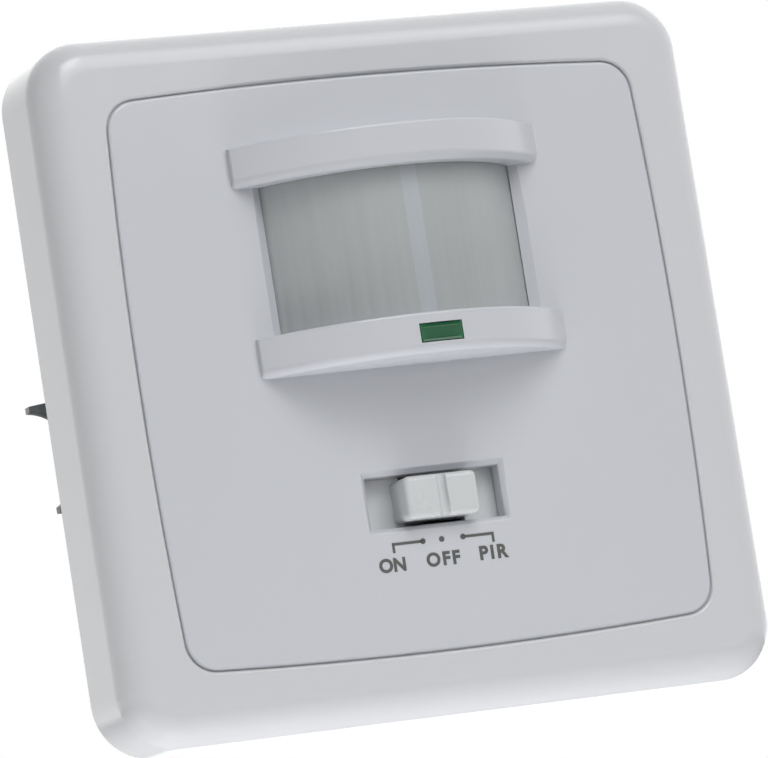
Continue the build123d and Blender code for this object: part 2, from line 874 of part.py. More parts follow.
def trimmer_rotor(side):
    """Round rotor with a screwdriver slot and a pointer notch."""
    x, z = trimmer_place(side)
    back = sensor_board_front + trimmer_depth - trimmer_rotor_depth + running_gap
    front = sensor_board_front + trimmer_depth + trimmer_rotor_rise
    rotor = pin(trimmer_rotor_radius, x, z, back, front)
    slot = Pos(x, z) * Rectangle(trimmer_slot_width, trimmer_slot_length)
    rotor -= slab(slot, front - trimmer_slot_depth, front + overrun)
    notch = Pos(x, z + trimmer_rotor_radius) * Circle(trimmer_slot_width)
    return rotor - slab(notch, front - trimmer_slot_depth, front + overrun)


# Small parts on the sensor board
def board_place(shares):
    """A place on the sensor board, from shares of its half width and radius."""
    return shares[0] * board_half_width, shares[1] * board_radius


def transistor_leads():
    """Three leads under each transistor."""
    places = []
    for shares in transistor_places_shares:
        x, z = board_place(shares)
        places += [(x + step * led_lead_spacing / 2, z) for step in (-1, 0, 1)]
    return places


def signal_transistors():
    """Small plastic transistors with one flat side each."""
    back = sensor_board_front + transistor_stand
    group = Part()
    for shares in transistor_places_shares:
        x, z = board_place(shares)
        flat = Pos(0, transistor_radius - transistor_flat) * Rectangle(2 * transistor_radius, 2 * transistor_radius)
        group += slab(Pos(x, z) * (Circle(transistor_radius) & flat), back, back + transistor_length)
    for x, z in transistor_leads():
        group += pin(can_lead_radius, x, z, sensor_board_back - lead_stub, back)
    return group


def resistor_leads():
    """Two leads for each resistor."""
    places = []
    for shares in resistor_places_shares:
        x, z = board_place(shares)
        reach = resistor_length / 2 + resistor_lead_reach
        places += [(x - reach, z), (x + reach, z)]
    return places


def sensor_resistors():
    """Axial resistors that lie on the board, with swollen ends and bent leads."""
    forward = sensor_board_front + resistor_radius + lead_gap
    group = Part()
    for shares in resistor_places_shares:
        x, z = board_place(shares)
        half = resistor_length / 2
        group += rod_along_x(resistor_waist_radius, x - half, x + half, z, forward)
        for side in (-1, 1):
            low, high = sorted((x + side * half, x + side * (half - resistor_cap_length)))
            group += rod_along_x(resistor_radius, low, high, z, forward)
            lead_end = half + resistor_lead_reach + resistor_lead_radius / 2
            low, high = sorted((x + side * half, x + side * lead_end))
            group += rod_along_x(resistor_lead_radius, low, high, z, forward)
    for x, z in resistor_leads():
        group += pin(resistor_lead_radius, x, z, sensor_board_back - lead_stub, forward)
    return group


def control_ic():
    """Flat chip behind the sensor board with a row of pins on each side."""
    x, z = board_place(ic_place_shares)
    front = sensor_board_back
    body = block(x - ic_width / 2, x + ic_width / 2, z - ic_length / 2, z + ic_length / 2,
                 front - ic_thickness, front - seat_gap)
    for side in (-1, 1):
        for row in range(ic_pin_count):
            pin_z = z + (row - (ic_pin_count - 1) / 2) * ic_pin_spacing
            low, high = sorted((x + side * ic_width / 2, x + side * (ic_width / 2 + ic_pin_reach)))
            body += block(low, high, pin_z - ic_pin_width / 2, pin_z + ic_pin_width / 2,
                          front - ic_thickness / 2, front - seat_gap)
            body += block(low, high, pin_z - ic_pin_width / 2, pin_z + ic_pin_width / 2,
                          front - ic_thickness / 4, front)
    return body


def link_places():
    """Pins in a row near the boards' upper edge."""
    middle = (link_pin_count - 1) / 2
    return [((step - middle) * link_pin_spacing, board_radius * link_place_share) for step in range(link_pin_count)]


def link_strip():
    """Plastic strip that spaces the link pins."""
    half = link_pin_count * link_pin_spacing / 2
    z = board_radius * link_place_share
    strip = block(-half, half, z - link_strip_depth / 2, z + link_strip_depth / 2, power_board_front,
                  power_board_front + link_strip_depth)
    side = link_pin_side / 2
    for x, pin_z in link_places():
        strip -= block(x - side, x + side, pin_z - side, pin_z + side, power_board_front - overrun,
                       power_board_front + link_strip_depth + overrun)
    return strip


def link_pins():
    """Square pins that carry power and signals between the boards."""
    side = link_pin_side / 2
    group = Part()
    for x, z in link_places():
        group += block(x - side, x + side, z - side, z + side, power_board_back - lead_stub,
                       sensor_board_front + lead_stub)
    return group


# Circuit boards
def pillar_places():
    """Four pillars that run between the boards."""
    reach = housing_inner_radius - board_screw_head_radius - board_edge_gap
    x = reach * math.cos(math.radians(pillar_angle))
    z = reach * math.sin(math.radians(pillar_angle))
    return [(sx * x, sz * z) for sx in (-1, 1) for sz in (-1, 1)]


def sensor_screw_places():
    """The two opposite pillars that hold the sensor board."""
    return [place for place in pillar_places() if place[0] * place[1] < 0]


def sensor_board():
    """Board for the detector, the lamp, the slide switch and the trimmers, with drilled holes."""
    board = slab(board_outline(), sensor_board_back, sensor_board_front)
    drills = [(place, can_lead_radius + lead_gap) for place in can_lead_places() + transistor_leads()]
    drills += [(place, light_sensor_lead_radius + lead_gap) for place in light_sensor_leads()]
    drills += [(place, led_lead_side + lead_gap) for place in led_leads()]
    drills += [(place, switch_pin_side + lead_gap) for place in switch_pin_places()]
    drills += [(place, resistor_lead_radius + lead_gap) for place in resistor_leads()]
    drills += [(place, link_pin_side + lead_gap) for place in link_places()]
    drills += [(place, board_screw_radius + lead_gap) for place in sensor_screw_places()]
    for (x, z), radius in drills:
        board -= pin(radius, x, z, sensor_board_back - overrun, sensor_board_front + overrun)
    return board


def power_board():
    """Board for the relay, the supply and the terminals."""
    board = slab(board_outline(), power_board_back, power_board_front)
    drills = [(place, link_pin_side + lead_gap) for place in link_places()]
    drills += [(place, component_lead_radius + lead_gap) for place in power_lead_places()]
    drills += [(place, board_screw_radius + lead_gap) for place in pillar_places()]
    for (x, z), radius in drills:
        board -= pin(radius, x, z, power_board_back - overrun, power_board_front + overrun)
    return board


def board_screws():
    """Two screws that hold the sensor board to its pillars."""
    group = Part()
    for x, z in sensor_screw_places():
        group += cross_screw(x, z, sensor_board_front, sensor_board_front + board_screw_head_height,
                             board_screw_head_radius, board_screw_radius - running_gap,
                             sensor_board_front - board_screw_length)
    return group


# Parts on the power board
def relay_box():
    """Low and high corners of the relay on the board."""
    left = -board_half_width + board_edge_gap
    low = board_radius * relay_low_share
    return left, left + relay_width, low, low + relay_height


def relay_lead_places():
    """Five relay pins."""
    left, right, low, high = relay_box()
    columns = (left + relay_pin_inset, right - relay_pin_inset)
    rows = (low + relay_pin_inset, high - relay_pin_inset)
    return [(x, z) for x in columns for z in rows] + [((left + right) / 2, low + relay_pin_inset)]


def add_leads(body, places):
    """Adds leads that pass through the power board."""
    for x, z in places:
        body += pin(component_lead_radius, x, z, power_board_back - lead_stub, power_board_front)
    return body


def relay():
    """Sealed relay: a box on a slightly smaller base, with its pins."""
    left, right, low, high = relay_box()
    seam = power_board_front + relay_base_depth
    case = block(left, right, low, high, seam, power_board_front + relay_depth)
    case = fillet([e for e in case.edges() if e.center().Y < -seam], relay_corner_radius)
    base = block(left + seat_gap, right - seat_gap, low + seat_gap, high - seat_gap, power_board_front, seam)
    return add_leads(case + base, relay_lead_places())


def film_box():
    """Low and high corners of the film capacitor, beside the relay."""
    left, right, low, high = relay_box()
    return right + part_spacing, right + part_spacing + film_width, low, low + film_height


def film_lead_places():
    """Two leads near the ends of the film capacitor."""
    left, right, low, high = film_box()
    middle = (left + right) / 2
    return [(middle, low + film_pin_inset), (middle, high - film_pin_inset)]


def film_capacitor():
    """Boxed film capacitor with rounded corners."""
    left, right, low, high = film_box()
    case = block(left, right, low, high, power_board_front, power_board_front + film_depth)
    case = fillet([e for e in case.edges() if e.center().Y < -power_board_front], film_corner_radius)
    return add_leads(case, film_lead_places())


def can_row():
    """Centres and radii of the two electrolytic capacitors, below the relay."""
    left, right, low, high = relay_box()
    first_x = left + large_can_radius + 2 * part_spacing
    second_x = first_x + large_can_radius + small_can_radius + part_spacing
    row = low - part_spacing - large_can_radius
    return [(first_x, row, large_can_radius, large_can_length), (second_x, row, small_can_radius, small_can_length)]


def can_row_leads():
    """Two leads under each electrolytic capacitor."""
    return [(x + side * radius * can_pin_place_share, z) for x, z, radius, length in can_row() for side in (-1, 1)]


def smoothing_capacitors():
    """Two upright cans, each with a rolled bead near its foot."""
    group = Part()
    for x, z, radius, length in can_row():
        can = pin(radius, x, z, power_board_front, power_board_front + length)
        can = fillet(can.edges().sort_by(Axis.Y)[0], can_bead_depth)
        bead = power_board_front + radius * can_bead_place_share
        ring = slab(Pos(x, z) * (Circle(radius + overrun) - Circle(radius - can_bead_depth)), bead,
                    bead + 2 * can_bead_depth)
        group += can - ring
    return add_leads(group, can_row_leads())


def varistor_place():
    """Centre of the varistor, after the smaller can."""
    x, z, radius, length = can_row()[1]
    return x + radius + part_spacing + varistor_radius, z


def varistor_leads():
    """Two leads under the varistor."""
    x, z = varistor_place()
    return [(x - varistor_radius / 2, z), (x + varistor_radius / 2, z)]


def varistor():
    """Coated disc that stands on its edge."""
    x, z = varistor_place()
    centre = power_board_front + varistor_radius + part_spacing
    disc = rod_along_z(varistor_radius, x, z - varistor_thickness / 2, z + varistor_thickness / 2, centre)
    disc = fillet(disc.edges(), varistor_edge_radius)
    for lead_x, lead_z in varistor_leads():
        disc += pin(component_lead_radius, lead_x, lead_z, power_board_back - lead_stub, centre)
    return disc


def diode_places():
    """Two rows of two diodes near the lower edge."""
    x = diode_length / 2 + part_spacing
    return [(side * x, board_radius * share) for share in diode_row_shares for side in (-1, 1)]


def diode_leads():
    """Two leads for each diode."""
    places = []
    for x, z in diode_places():
        reach = diode_length / 2 + component_lead_bend
        places += [(x - reach, z), (x + reach, z)]
    return places


def rectifier_diodes():
    """Four diodes that lie on the board."""
    forward = power_board_front + diode_radius + lead_gap
    group = Part()
    for x, z in diode_places():
        half = diode_length / 2
        group += rod_along_x(diode_radius, x - half, x + half, z, forward)
        reach = half + component_lead_bend + component_lead_radius / 2
        group += rod_along_x(component_lead_radius, x - reach, x + reach, z, forward)
    for x, z in diode_leads():
        group += pin(component_lead_radius, x, z, power_board_back - lead_stub, forward)
    return group


def fuse_place():
    """Centre of the fuse, above the relay."""
    left, right, low, high = relay_box()
    return 0, high + part_spacing + fuse_radius


def fuse_leads():
    """Two leads at the fuse's ends."""
    x, z = fuse_place()
    reach = fuse_length / 2 + component_lead_bend
    return [(x - reach, z), (x + reach, z)]


def line_fuse():
    """Sealed fuse that lies on the board."""
    x, z = fuse_place()
    forward = power_board_front + fuse_radius + lead_gap
    half = fuse_length / 2
    body = rod_along_x(fuse_radius, x - half, x + half, z, forward)
    body = fillet(body.edges(), fuse_edge_radius)
    reach = half + component_lead_bend + component_lead_radius / 2
    body += rod_along_x(component_lead_radius, x - reach, x + reach, z, forward)
    for lead_x, lead_z in fuse_leads():
        body += pin(component_lead_radius, lead_x, lead_z, power_board_back - lead_stub, forward)
    return body


def power_lead_places():
    """Every lead that passes through the power board."""
    places = relay_lead_places() + film_lead_places() + can_row_leads() + varistor_leads()
    return places + diode_leads() + fuse_leads() + contact_leads()


# Terminals
def terminal_x(pole):
    """Centre of one pole, counted from the left."""
    return (pole - (terminal_count - 1) / 2) * terminal_spacing


cavity_half = (terminal_spacing - terminal_partition) / 2
cavity_half_height = terminal_height / 2 - terminal_side_wall
lid_front = terminal_rear + terminal_lid
contact_back = lid_front + cage_travel + cage_head_wall + 2 * cage_gap
contact_front = contact_back + contact_thickness
cage_front = contact_front + cage_window_depth + cage_wall
wire_line = contact_front + cage_window_depth / 2
cage_back = contact_back - cage_gap - cage_head_wall


def terminal_block():
    """Insulating block with a cavity, a screw well and a wire hole for each pole."""
    half = (terminal_count * terminal_spacing) / 2 + terminal_end_wall - terminal_partition / 2
    half_height = terminal_height / 2
    body = block(-half, half, -half_height, half_height, terminal_rear, terminal_front)
    body = fillet([e for e in body.edges() if e.center().Y > -(terminal_rear + overrun)], terminal_edge_radius)
    foot_x = half - terminal_foot_radius
    foot_z = half_height - terminal_foot_radius
    for x, z in [(sx * foot_x, sz * foot_z) for sx in (-1, 1) for sz in (-1, 1)]:
        body += pin(terminal_foot_radius, x, z, terminal_front, power_board_back)
    for pole in range(terminal_count):
        x = terminal_x(pole)
        body -= block(x - cavity_half, x + cavity_half, -cavity_half_height, cavity_half_height, lid_front,
                      terminal_front + overrun)
        body -= pin(terminal_head_radius + terminal_well_gap, x, 0, terminal_rear - overrun, lid_front)
        body -= rod_along_z(wire_bore_radius, x, -half_height - overrun, -cavity_half_height + seat_gap, wire_line)
    return body


def contact_leads():
    """One lead for each pole, beside the cage."""
    z = cavity_half_height - component_lead_radius - seat_gap
    return [(terminal_x(pole), z) for pole in range(terminal_count)]


def contact_bars():
    """Fixed contact bars that the cages pull the wires against, each with a leg to the board."""
    half = cavity_half - cage_wall - 2 * cage_gap
    group = Part()
    for pole in range(terminal_count):
        x = terminal_x(pole)
        top = cavity_half_height - seat_gap / 2
        group += block(x - half, x + half, -cage_half_height() - cage_gap, top, contact_back, contact_front)
    for x, z in contact_leads():
        group += pin(component_lead_radius, x, z, power_board_back, contact_back)
        group += pin(component_lead_radius, x, z, power_board_back, power_board_front)
    return group


def cage_half_height():
    """The cage leaves room for the contact's leg above it."""
    return cavity_half_height - 2 * component_lead_radius - 2 * cage_gap


def terminal_cage(pole):
    """Brass cage that climbs along its screw and clamps the wire."""
    x = terminal_x(pole)
    half = cavity_half - cage_gap
    half_height = cage_half_height() - cage_gap
    cage = block(x - half, x + half, -half_height, half_height, cage_back, cage_front)
    window_half = half - cage_wall
    cage -= block(x - window_half, x + window_half, -terminal_height, terminal_height,
                  cage_back + cage_head_wall, cage_front - cage_wall)
    return cage - pin(terminal_screw_radius + running_gap, x, 0, cage_back - overrun, cage_back + cage_head_wall)


def terminal_screw(pole):
    """Captive screw with a slotted head at the back, whose tip meets the contact bar."""
    x = terminal_x(pole)
    head_front = lid_front - cage_gap
    head = pin(terminal_head_radius, x, 0, head_front - terminal_head_height, head_front)
    slot = Pos(x, 0) * Rectangle(2 * (terminal_head_radius + overrun), terminal_slot_width)
    head_back = head_front - terminal_head_height
    head -= slab(slot, head_back - overrun, head_back + terminal_slot_depth)
    return head + pin(terminal_screw_radius, x, 0, head_front, contact_back - running_gap)


# Housing and rear cover
def pillar(x, z):
    """A pillar between the boards, with a web that joins it to the cup's wall."""
    web_x = x + pillar_web * math.copysign(math.cos(math.radians(pillar_angle)), x)
    web_z = z + pillar_web * math.copysign(math.sin(math.radians(pillar_angle)), z)
    outline = Pos(x, z) * Circle(pillar_radius) + Pos(web_x, web_z) * Circle(pillar_radius)
    return slab(outline & housing_outline(-housing_wall / 2), power_board_front, sensor_board_back)


def base_housing():
    """Flange in front of the ring and a flat sided cup inside the wall, with pillars for the boards."""
    flange = slab(RectangleRounded(2 * flange_half, 2 * flange_half, flange_corner_radius), flange_back, flange_front)
    for side in (-1, 1):
        flange -= pin(box_screw_head_space, 0, side * box_screw_spacing / 2, flange_back - overrun,
                      flange_front + overrun)
        access = claw_screw_head_radius + claw_screw_access
        flange -= pin(access, side * claw_screw_reach, side * -claw_centre_height, flange_back - overrun,
                      flange_front + overrun)
    for x, z in ring_screw_places():
        half = pad_side / 2
        flange += block(x - half, x + half, z - half, z + half, ring_thickness, flange_back)
    cup = slab(housing_outline(), -housing_tail, flange_front)
    bore = slab(housing_outline(-housing_wall), -housing_tail - overrun, flange_front + overrun)
    body = flange + cup - bore
    for x, z in pillar_places():
        body += pillar(x, z)
    for x, z in pillar_places():
        radius = pillar_pilot_radius + running_gap
        body -= pin(radius, x, z, power_board_front - overrun, power_board_front + pillar_pilot_depth)
        body -= pin(radius, x, z, sensor_board_back - pillar_pilot_depth, sensor_board_back + overrun)
    for x, z in ring_screw_places():
        body -= pin(ring_screw_radius + lead_gap, x, z, 0, flange_front + overrun)
    return body


def rear_cover():
    """Plate that closes the cup around the terminal block."""
    plate = slab(housing_outline(), -housing_tail - rear_cover_thickness, -housing_tail)
    spigot = slab(housing_outline(-housing_wall - seat_gap), -housing_tail, power_board_back - seat_gap)
    core = slab(housing_outline(-housing_wall - seat_gap - spigot_wall), -housing_tail, 0)
    plate += spigot - core
    half = (terminal_count * terminal_spacing) / 2 + terminal_end_wall - terminal_partition / 2 + seat_gap
    half_height = terminal_height / 2 + seat_gap
    plate -= block(-half, half, -half_height, half_height, terminal_rear, 0)
    for x, z in pillar_places():
        plate += pin(pillar_radius, x, z, -housing_tail, power_board_back - seat_gap) & spigot_room()
        plate -= pin(board_screw_radius + lead_gap, x, z, terminal_rear, 0)
    return plate


def spigot_room():
    """The space inside the cup's wall."""
    return slab(housing_outline(-housing_wall - seat_gap), -housing_tail - overrun, 0)


def rear_screws():
    """Four screws through the rear cover and the power board into the pillars."""
    group = Part()
    seat = -housing_tail - rear_cover_thickness
    end = power_board_front + board_screw_length
    for x, z in pillar_places():
        group += rear_screw(x, z, seat, board_screw_head_height, board_screw_head_radius,
                            pillar_pilot_radius, end)
    return group


# Support ring and claws
def ring_screw_places():
    """Four screws at the corners of a square."""
    return [(sx * ring_screw_place, sz * ring_screw_place) for sx in (-1, 1) for sz in (-1, 1)]


def claw_lugs():
    """Two lugs, bent back from the ring, that hold the left claw's trunnions."""
    lugs = Part()
    near = claw_width / 2 + slide_gap
    low_x = -claw_pivot_reach - trunnion_radius - claw_lug_margin
    high_x = -housing_half_width - ring_gap
    back = -claw_pivot_inset - trunnion_radius - claw_lug_margin
    for side in (-1, 1):
        far = near + claw_lug_thickness
        low, high = sorted((claw_centre_height + side * near, claw_centre_height + side * far))
        lug = block(low_x, high_x, low, high, back, ring_thickness)
        lugs += lug - rod_along_z(trunnion_radius + running_gap, -claw_pivot_reach, low - overrun,
                                  high + overrun, -claw_pivot_inset)
    return lugs


def support_ring():
    """Square steel plate with an opening for the cup, two screw slots and the claws' lugs."""
    plate = slab(RectangleRounded(ring_side, ring_side, ring_corner_radius), 0, ring_thickness)
    plate -= slab(housing_outline(ring_gap), -overrun, ring_thickness + overrun)
    for side in (-1, 1):
        slot = Rot(0, 0, 90) * SlotOverall(box_slot_length, 2 * box_slot_radius)
        slot = Pos(0, side * box_screw_spacing / 2) * slot
        plate -= slab(slot, -overrun, ring_thickness + overrun)
        plate -= pin(claw_screw_radius + lead_gap, side * claw_screw_reach, side * -claw_centre_height, -overrun,
                     ring_thickness + overrun)
    for x, z in ring_screw_places():
        plate -= pin(ring_screw_radius + running_gap, x, z, -overrun, ring_thickness + overrun)
    return plate + claw_lugs() + half_turn(claw_lugs())


def ring_screws():
    """Four screws that hold the housing's flange to the ring."""
    group = Part()
    for x, z in ring_screw_places():
        group += cross_screw(x, z, flange_front, flange_front + ring_screw_head_height, ring_screw_head_radius,
                             ring_screw_radius, seat_gap)
    return group


def tooth_outline(tip_reach, side):
    """One blunt tooth, with one straight edge and one hollow edge."""
    root = -claw_tip_reach + claw_tooth_length
    edge = claw_centre_height + side * claw_width / 2
    near = edge - side * claw_tooth_slope
    far = near - side * claw_tooth_tip
    foot = edge - side * claw_tooth_width
    middle = ((root - tip_reach) / 2, (far + foot) / 2 + side * claw_tooth_hollow)
    straight = Polyline((root, foot), (root, edge), (-tip_reach, near), (-tip_reach, far))
    hollow = ThreePointArc((-tip_reach, far), middle, (root, foot))
    return make_face(straight + hollow)


def spreader_claw():
    """Left claw: a bent steel strip with a slotted flange, two trunnions and two teeth."""
    path = FilletPolyline((-claw_pivot_reach, claw_pivot_inset), (-claw_bend_reach, claw_pivot_inset),
                          (-claw_elbow_reach, claw_elbow_inset), (-claw_tip_reach - overrun, claw_tip_inset),
                          radius=claw_bend_radius)
    low = claw_centre_height - claw_width / 2
    strip = rise(trace(path, line_width=claw_thickness), low, low + claw_width)
    root = -claw_tip_reach + claw_tooth_length
    deep = claw_tip_inset + claw_tip_reach
    keep = block(root, 0, low - overrun, low + claw_width + overrun, -deep, 0)
    keep += slab(tooth_outline(claw_tip_reach, 1), -deep, 0)
    keep += slab(tooth_outline(claw_tip_reach - claw_short_tooth, -1), -deep, 0)
    claw = strip & keep
    reach = claw_width / 2 + slide_gap + claw_lug_thickness + slide_gap
    claw += rod_along_z(trunnion_radius, -claw_pivot_reach, claw_centre_height - reach,
                        claw_centre_height + reach, -claw_pivot_inset)
    slot_centre = -claw_screw_reach - claw_slot_margin / 2
    slot_length = 2 * (claw_screw_radius + claw_slot_margin)
    slot = Pos(slot_centre, claw_centre_height) * SlotOverall(slot_length, 2 * (claw_screw_radius + slide_gap))
    return claw - slab(slot, -claw_pivot_inset - claw_thickness, 0)


def claw_screw():
    """Long screw of the left claw, with its head in front of the ring."""
    return cross_screw(-claw_screw_reach, claw_centre_height, ring_thickness, ring_thickness + claw_screw_head_height,
                       claw_screw_head_radius, claw_screw_radius, ring_thickness - claw_screw_length)


def claw_nut():
    """Square nut behind the left claw's flange."""
    front = -claw_pivot_inset - claw_thickness / 2 - running_gap
    half = claw_nut_side / 2
    x = -claw_screw_reach
    z = claw_centre_height
    nut = block(x - half, x + half, z - half, z + half, front - claw_nut_thickness, front)
    return nut - pin(claw_screw_radius + running_gap, x, z, front - claw_nut_thickness - overrun, front + overrun)


def nodes():
    """Every separate piece, by name."""
    return {
        "outer_frame": outer_frame(),
        "front_cover": front_cover(),
        "fresnel_lens": fresnel_lens(),
        "lens_retainer": lens_retainer(),
        "retainer_screws": retainer_screws(),
        "slider_knob": slider_knob(),
        "slide_switch_case": slide_switch_case(),
        "slide_switch_carriage": slide_switch_carriage(),
        "slide_switch_base": slide_switch_base(),
        "indicator_led": indicator_led(),
        "led_spacer": led_spacer(),
        "sensor_board": sensor_board(),
        "pir_sensor": pir_sensor(),
        "pir_window": pir_window(),
        "light_sensor": light_sensor(),
        "trimmer_body_time": trimmer_body(-1),
        "trimmer_rotor_time": trimmer_rotor(-1),
        "trimmer_body_light": trimmer_body(1),
        "trimmer_rotor_light": trimmer_rotor(1),
        "signal_transistors": signal_transistors(),
        "sensor_resistors": sensor_resistors(),
        "control_ic": control_ic(),
        "board_screws": board_screws(),
        "link_strip": link_strip(),
        "link_pins": link_pins(),
        "power_board": power_board(),
        "relay": relay(),
        "film_capacitor": film_capacitor(),
        "smoothing_capacitors": smoothing_capacitors(),
        "varistor": varistor(),
        "rectifier_diodes": rectifier_diodes(),
        "line_fuse": line_fuse(),
        "terminal_block": terminal_block(),
        "contact_bars": contact_bars(),
        "terminal_cage_left": terminal_cage(0),
        "terminal_cage_middle": terminal_cage(1),
        "terminal_cage_right": terminal_cage(2),
        "terminal_screw_left": terminal_screw(0),
        "terminal_screw_middle": terminal_screw(1),
        "terminal_screw_right": terminal_screw(2),
        "base_housing": base_housing(),
        "rear_cover": rear_cover(),
        "rear_screws": rear_screws(),
        "support_ring": support_ring(),
        "ring_screws": ring_screws(),
        "claw_left": spreader_claw(),
        "claw_right": half_turn(spreader_claw()),
        "claw_nut_left": claw_nut(),
        "claw_nut_right": half_turn(claw_nut()),
        "claw_screw_left": claw_screw(),
        "claw_screw_right": half_turn(claw_screw()),
    }


os.makedirs("parts", exist_ok=True)
for name, shape in nodes().items():
    export_step(shape, f"parts/{name}.step")
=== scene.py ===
import json
import math

import bmesh
import bpy
from bpy.props import FloatProperty, FloatVectorProperty, IntProperty, PointerProperty
from bpy.types import Operator, Panel, PropertyGroup
from mathutils import Matrix, Vector


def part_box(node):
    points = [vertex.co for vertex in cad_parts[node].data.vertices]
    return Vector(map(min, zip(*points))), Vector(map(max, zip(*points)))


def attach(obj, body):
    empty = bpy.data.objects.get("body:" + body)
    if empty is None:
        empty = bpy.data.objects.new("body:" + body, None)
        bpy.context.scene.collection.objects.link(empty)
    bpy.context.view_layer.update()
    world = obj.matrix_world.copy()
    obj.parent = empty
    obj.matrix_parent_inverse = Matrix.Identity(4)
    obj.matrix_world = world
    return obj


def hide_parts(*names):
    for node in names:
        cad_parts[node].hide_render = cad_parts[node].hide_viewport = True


bl_info = {
    "name": "Motion Sensor Light Switch",
    "version": (1, 0, 0),
    "blender": (4, 5, 0),
    "location": "3D View > Sidebar > Light Switch",
    "description": "Finishes the solids of a motion sensor light switch with surfaces, lettering and lighting",
    "category": "Object",
}

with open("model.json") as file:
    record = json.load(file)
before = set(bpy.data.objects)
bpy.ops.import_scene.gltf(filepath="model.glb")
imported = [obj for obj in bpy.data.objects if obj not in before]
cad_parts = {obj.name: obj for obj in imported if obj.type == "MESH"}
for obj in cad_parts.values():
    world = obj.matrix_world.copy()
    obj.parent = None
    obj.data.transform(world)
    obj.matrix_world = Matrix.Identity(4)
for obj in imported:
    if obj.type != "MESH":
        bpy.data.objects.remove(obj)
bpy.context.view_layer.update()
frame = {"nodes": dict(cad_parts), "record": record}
BODY_OF = {node: body for body, nodes in frame["record"]["behaviour"]["bodies"].items() for node in nodes}

MM = 0.001
MERGE = 0.002 * MM
FLAT = math.radians(0.05)
CREASE = math.radians(28)
COVER_EDGE_FRONT = 11.9 * MM
COVER_CENTRE_FRONT = 12.5 * MM
COVER_HALF = 33.0 * MM
LENS_RADIUS = 20.0 * MM
LENS_FRONT = 18.7 * MM
LENS_STEPS_PER_FLUTE = 6
LENS_CREASE = math.radians(40)
LAMP_FACE_DEPTH = 0.1 * MM
LAMP_BODY_DEPTH = 7.2 * MM
LAMP_EDGE_RADIUS = 0.07 * MM
RING_EDGE_RADIUS = 0.06 * MM
CLAW_EDGE_RADIUS = 0.08 * MM
NUT_EDGE_RADIUS = 0.1 * MM
BLOCK_EDGE_RADIUS = 0.1 * MM
CAGE_EDGE_RADIUS = 0.06 * MM
MARK_HEIGHT = -20.57 * MM
MARK_MIDDLE = -0.15 * MM
MARK_OUTER = 2.46 * MM
MARK_END = 6.26 * MM
MARK_DROP = 0.82 * MM
WHITE = (1, 1, 1, 1)
SKY_TINT = (0.97, 0.985, 1, 1)

# Each lamp's place, target and side in metres, and whether surfaces mirror it. Its power is a stage setting.
LAMPS = {
    "Key": ((0.36, -0.42, 0.42), (0, 0, 0), 0.22, True),
    "Top": ((-0.02, -0.42, 0.48), (0, 0, 0), 0.26, True),
    "Soft": ((0.10, -0.60, 0.50), (0, 0, 0), 0.60, True),
    "Right": ((0.55, -0.08, 0.12), (0, 0, 0), 0.36, False),
    "Low": ((0, -0.05, -0.27), (0, -0.01, -0.04), 0.16, False),
    "Low_left": ((-0.22, -0.04, -0.25), (0, -0.01, -0.02), 0.16, False),
    "Rear": ((0.10, 0.80, 0.35), (0, 0, 0), 0.50, False),
}
# Each printed word's centre across and up in millimetres, and the spacing of its letters
WORDS = {"ON": (-6.5, -22.95, 1.0), "OFF": (-0.3, -22.85, 1.22), "PIR": (5.85, -22.75, 1.26)}


# Settings
class SwitchSizes(PropertyGroup):
    """Sizes of the details that are added to the solids."""

    flute_count: IntProperty(name="Flutes", description="Upright flutes across the lens", default=19, min=3)
    flute_depth: FloatProperty(
        name="Flute depth",
        description="Depth of the groove between two flutes",
        default=0.05 * MM,
        unit="LENGTH",
    )
    lens_thickness: FloatProperty(
        name="Lens thickness", description="Thickness of the lens sheet", default=0.6 * MM, unit="LENGTH"
    )
    stripe_half_width: FloatProperty(
        name="Stripe half width", description="Half the lens's centre stripe", default=0.9 * MM, unit="LENGTH"
    )
    ink_thickness: FloatProperty(
        name="Ink thickness",
        description="How far the printing stands on the cover",
        default=0.02 * MM,
        unit="LENGTH",
    )
    letter_height: FloatProperty(
        name="Letter height", description="Height of a capital letter", default=1.62 * MM, unit="LENGTH"
    )
    mark_line: FloatProperty(
        name="Mark line", description="Width of the lines of the marks", default=0.32 * MM, unit="LENGTH"
    )
    dot_radius: FloatProperty(
        name="Dot radius", description="Radius of the dots of the marks", default=0.33 * MM, unit="LENGTH"
    )
    edge_radius: FloatProperty(
        name="Edge radius",
        description="Radius that softens the knob's edges",
        default=0.12 * MM,
        unit="LENGTH",
    )
    lamp_rim: FloatProperty(
        name="Lamp rim",
        description="Width of the rim round the lamp's face",
        default=0.32 * MM,
        unit="LENGTH",
    )
    lamp_dish: FloatProperty(
        name="Lamp dish",
        description="Depth of the lamp's face inside its rim",
        default=0.14 * MM,
        unit="LENGTH",
    )


